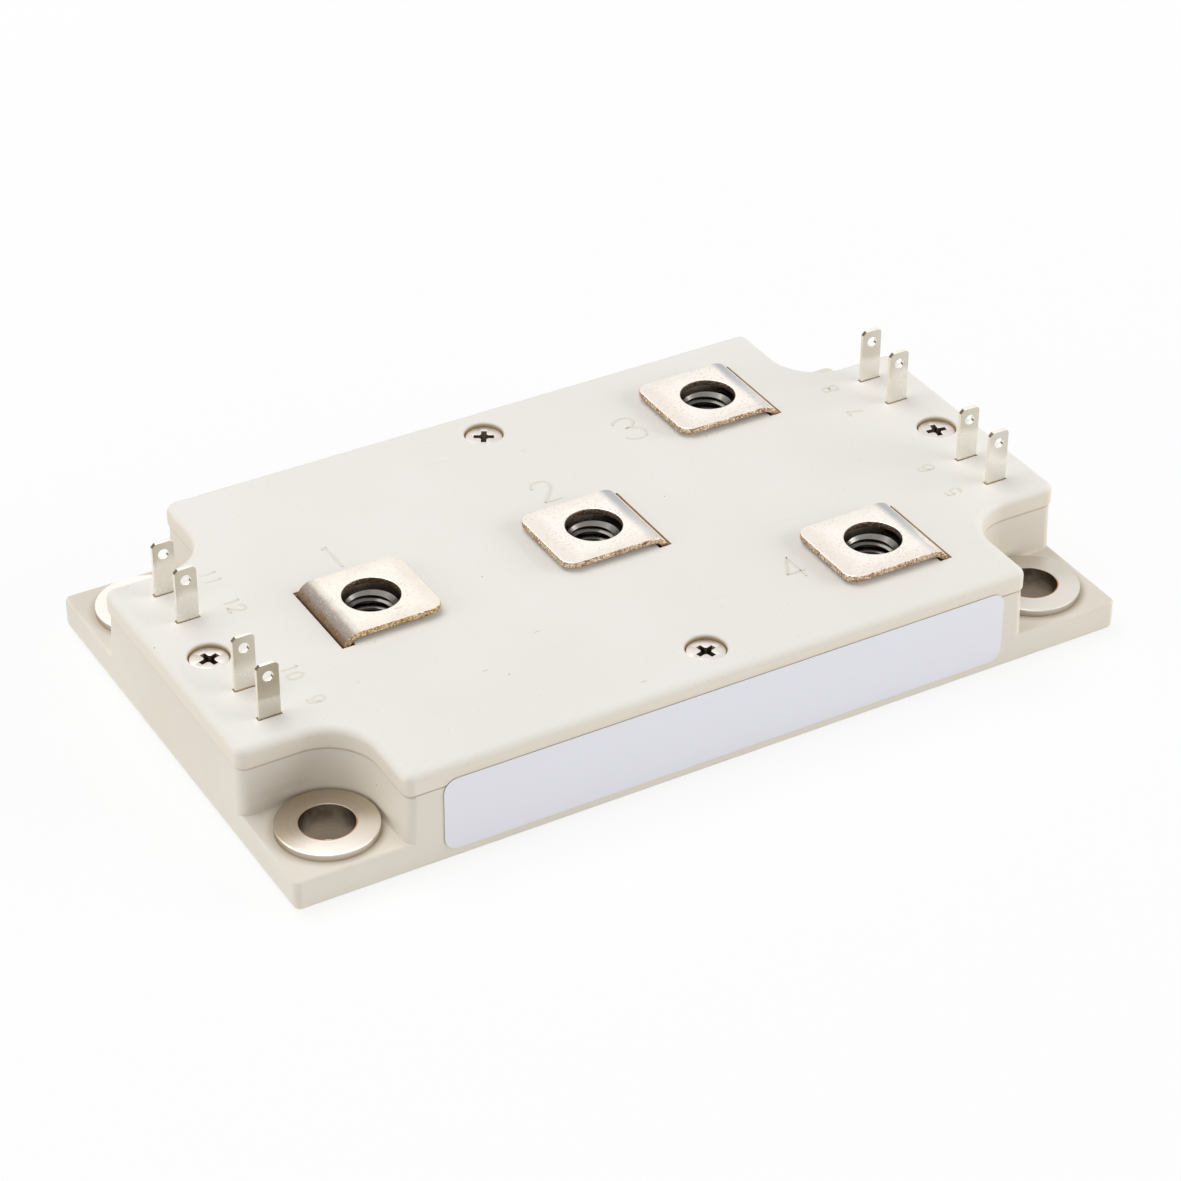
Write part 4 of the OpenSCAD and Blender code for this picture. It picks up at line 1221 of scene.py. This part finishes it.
# %% Strokes of the digits
STROKES = {
    "0": [[(0.5, 1), (0, 0.9), (0, 0.1), (0.5, 0), (1, 0.1), (1, 0.9), (0.5, 1)]],
    "1": [[(0.3, 0.93), (0.55, 1)], [(0.55, 1), (0.55, 0)]],
    "2": [[(0, 0.75), (0.1, 1), (0.6, 1.04), (1.05, 0.95), (0.95, 0.5), (0, 0)], [(0, 0), (1, 0)]],
    "3": [[(0, 0.85), (0.2, 1.02), (1, 1.03), (1.02, 0.6), (0.4, 0.54)],
          [(0.4, 0.54), (1.1, 0.5), (1.08, -0.04), (0.2, -0.04), (0, 0.16)]],
    "4": [[(0.72, 1), (0, 0.28)], [(0, 0.28), (1, 0.28)], [(0.72, 1), (0.72, 0)]],
    "5": [[(0.9, 1), (0.12, 1)], [(0.12, 1), (0.06, 0.52)],
          [(0.06, 0.52), (0.6, 0.72), (1.12, 0.5), (0.95, -0.05), (0.3, -0.05), (0, 0.15)]],
    "6": [[(0.9, 0.9), (0.4, 1.1), (0, 0.7), (-0.05, 0.2), (0.2, -0.05), (0.9, -0.05),
           (1.1, 0.4), (0.7, 0.66), (0.2, 0.62), (0, 0.36)]],
    "7": [[(0, 1), (1, 1)], [(1, 1), (0.35, 0)]],
    "8": [[(0.5, 0.54), (0.05, 0.6), (0.05, 1), (0.5, 1.03), (0.95, 1), (0.95, 0.6), (0.5, 0.54)],
          [(0.5, 0.54), (0, 0.48), (-0.05, 0), (0.5, -0.04), (1.05, 0), (1, 0.48), (0.5, 0.54)]],
}
STROKES["9"] = [[(1 - x, 1 - y) for x, y in line] for line in STROKES["6"]]
print("digits drawn:", "".join(sorted(STROKES)))


# %% Pin numbers
SMALL, LARGE = 1.9, 4.3
NUMBERS = {
    "1": (-28.2, 10.6, 4.5, 0), "2": (0.0, 10.7, LARGE, 0), "3": (15.8, 18.0, 4.7, 0),
    "4": (16.8, -17.5, LARGE, 0), "5": (42.2, -13.3, SMALL, 90), "6": (42.3, -7.3, SMALL, 90),
    "7": (42.1, 7.6, SMALL, 90), "8": (42.3, 13.8, SMALL, 90), "9": (-42.3, -13.5, SMALL, -90),
    "10": (-42.3, -7.6, SMALL, -90), "11": (-42.3, 13.8, SMALL, -90),
    "12": (-42.3, 7.4, SMALL, -90),
}
DIGIT_W, DIGIT_PITCH = 0.56, 0.82


def stroke_mesh(lines, place, height, turn):
    curve = bpy.data.curves.new("strokes", "CURVE")
    curve.dimensions, curve.bevel_resolution = "3D", 1
    curve.bevel_depth = 0.18 if height == SMALL else 0.2
    curve.use_fill_caps = True
    for line in lines:
        spline = curve.splines.new("NURBS")
        spline.points.add(len(line) - 1)
        for point, (x, y) in zip(spline.points, line):
            point.co = (x * height, y * height, 0, 1)
        spline.order_u, spline.use_endpoint_u, spline.resolution_u = 3, True, 6
    holder = bpy.data.objects.new("strokes", curve)
    bm = bmesh.new()
    bm.from_mesh(holder.to_mesh())
    bpy.data.objects.remove(holder)
    bmesh.ops.scale(bm, vec=(1, 1, 0.5), verts=bm.verts)
    return moved(rotated(bm, turn), place)


digits = []
for text, (x, y, height, turn) in NUMBERS.items():
    span = DIGIT_W + DIGIT_PITCH * (len(text) - 1)
    lines = [[((gx * DIGIT_W + k * DIGIT_PITCH - span / 2), gy - 0.5) for gx, gy in line]
             for k, digit in enumerate(text) for line in STROKES[digit]]
    digits.append(stroke_mesh(lines, (x, y, TOP_Z), height, turn))
piece(joined(digits), "pin_numbers", [number_plastic], "lid_plastic", smooth=60)

# %% [markdown]
# ## Label
# A plain white film with round corners is stuck to the long side, over the seam. It could be a
# shade in the case's finish, but a film of real thickness catches the light. Its cut edge shows
# a thin brown line of glue and dust with a painted edge shadow, so the edge has a finish of its
# own.

# %% Label
LABEL_CORNER_R = 1.7
label = block(*box_mm("label"))
round_edges(label, edges_along(label, 1), LABEL_CORNER_R, 10)
label.normal_update()
for face in label.faces:
    face.material_index = 0 if abs(face.normal.y) > 0.9 else 1
piece(label, "plain_label", [label_film, glue_and_shadow_edge], "label_film", "label")
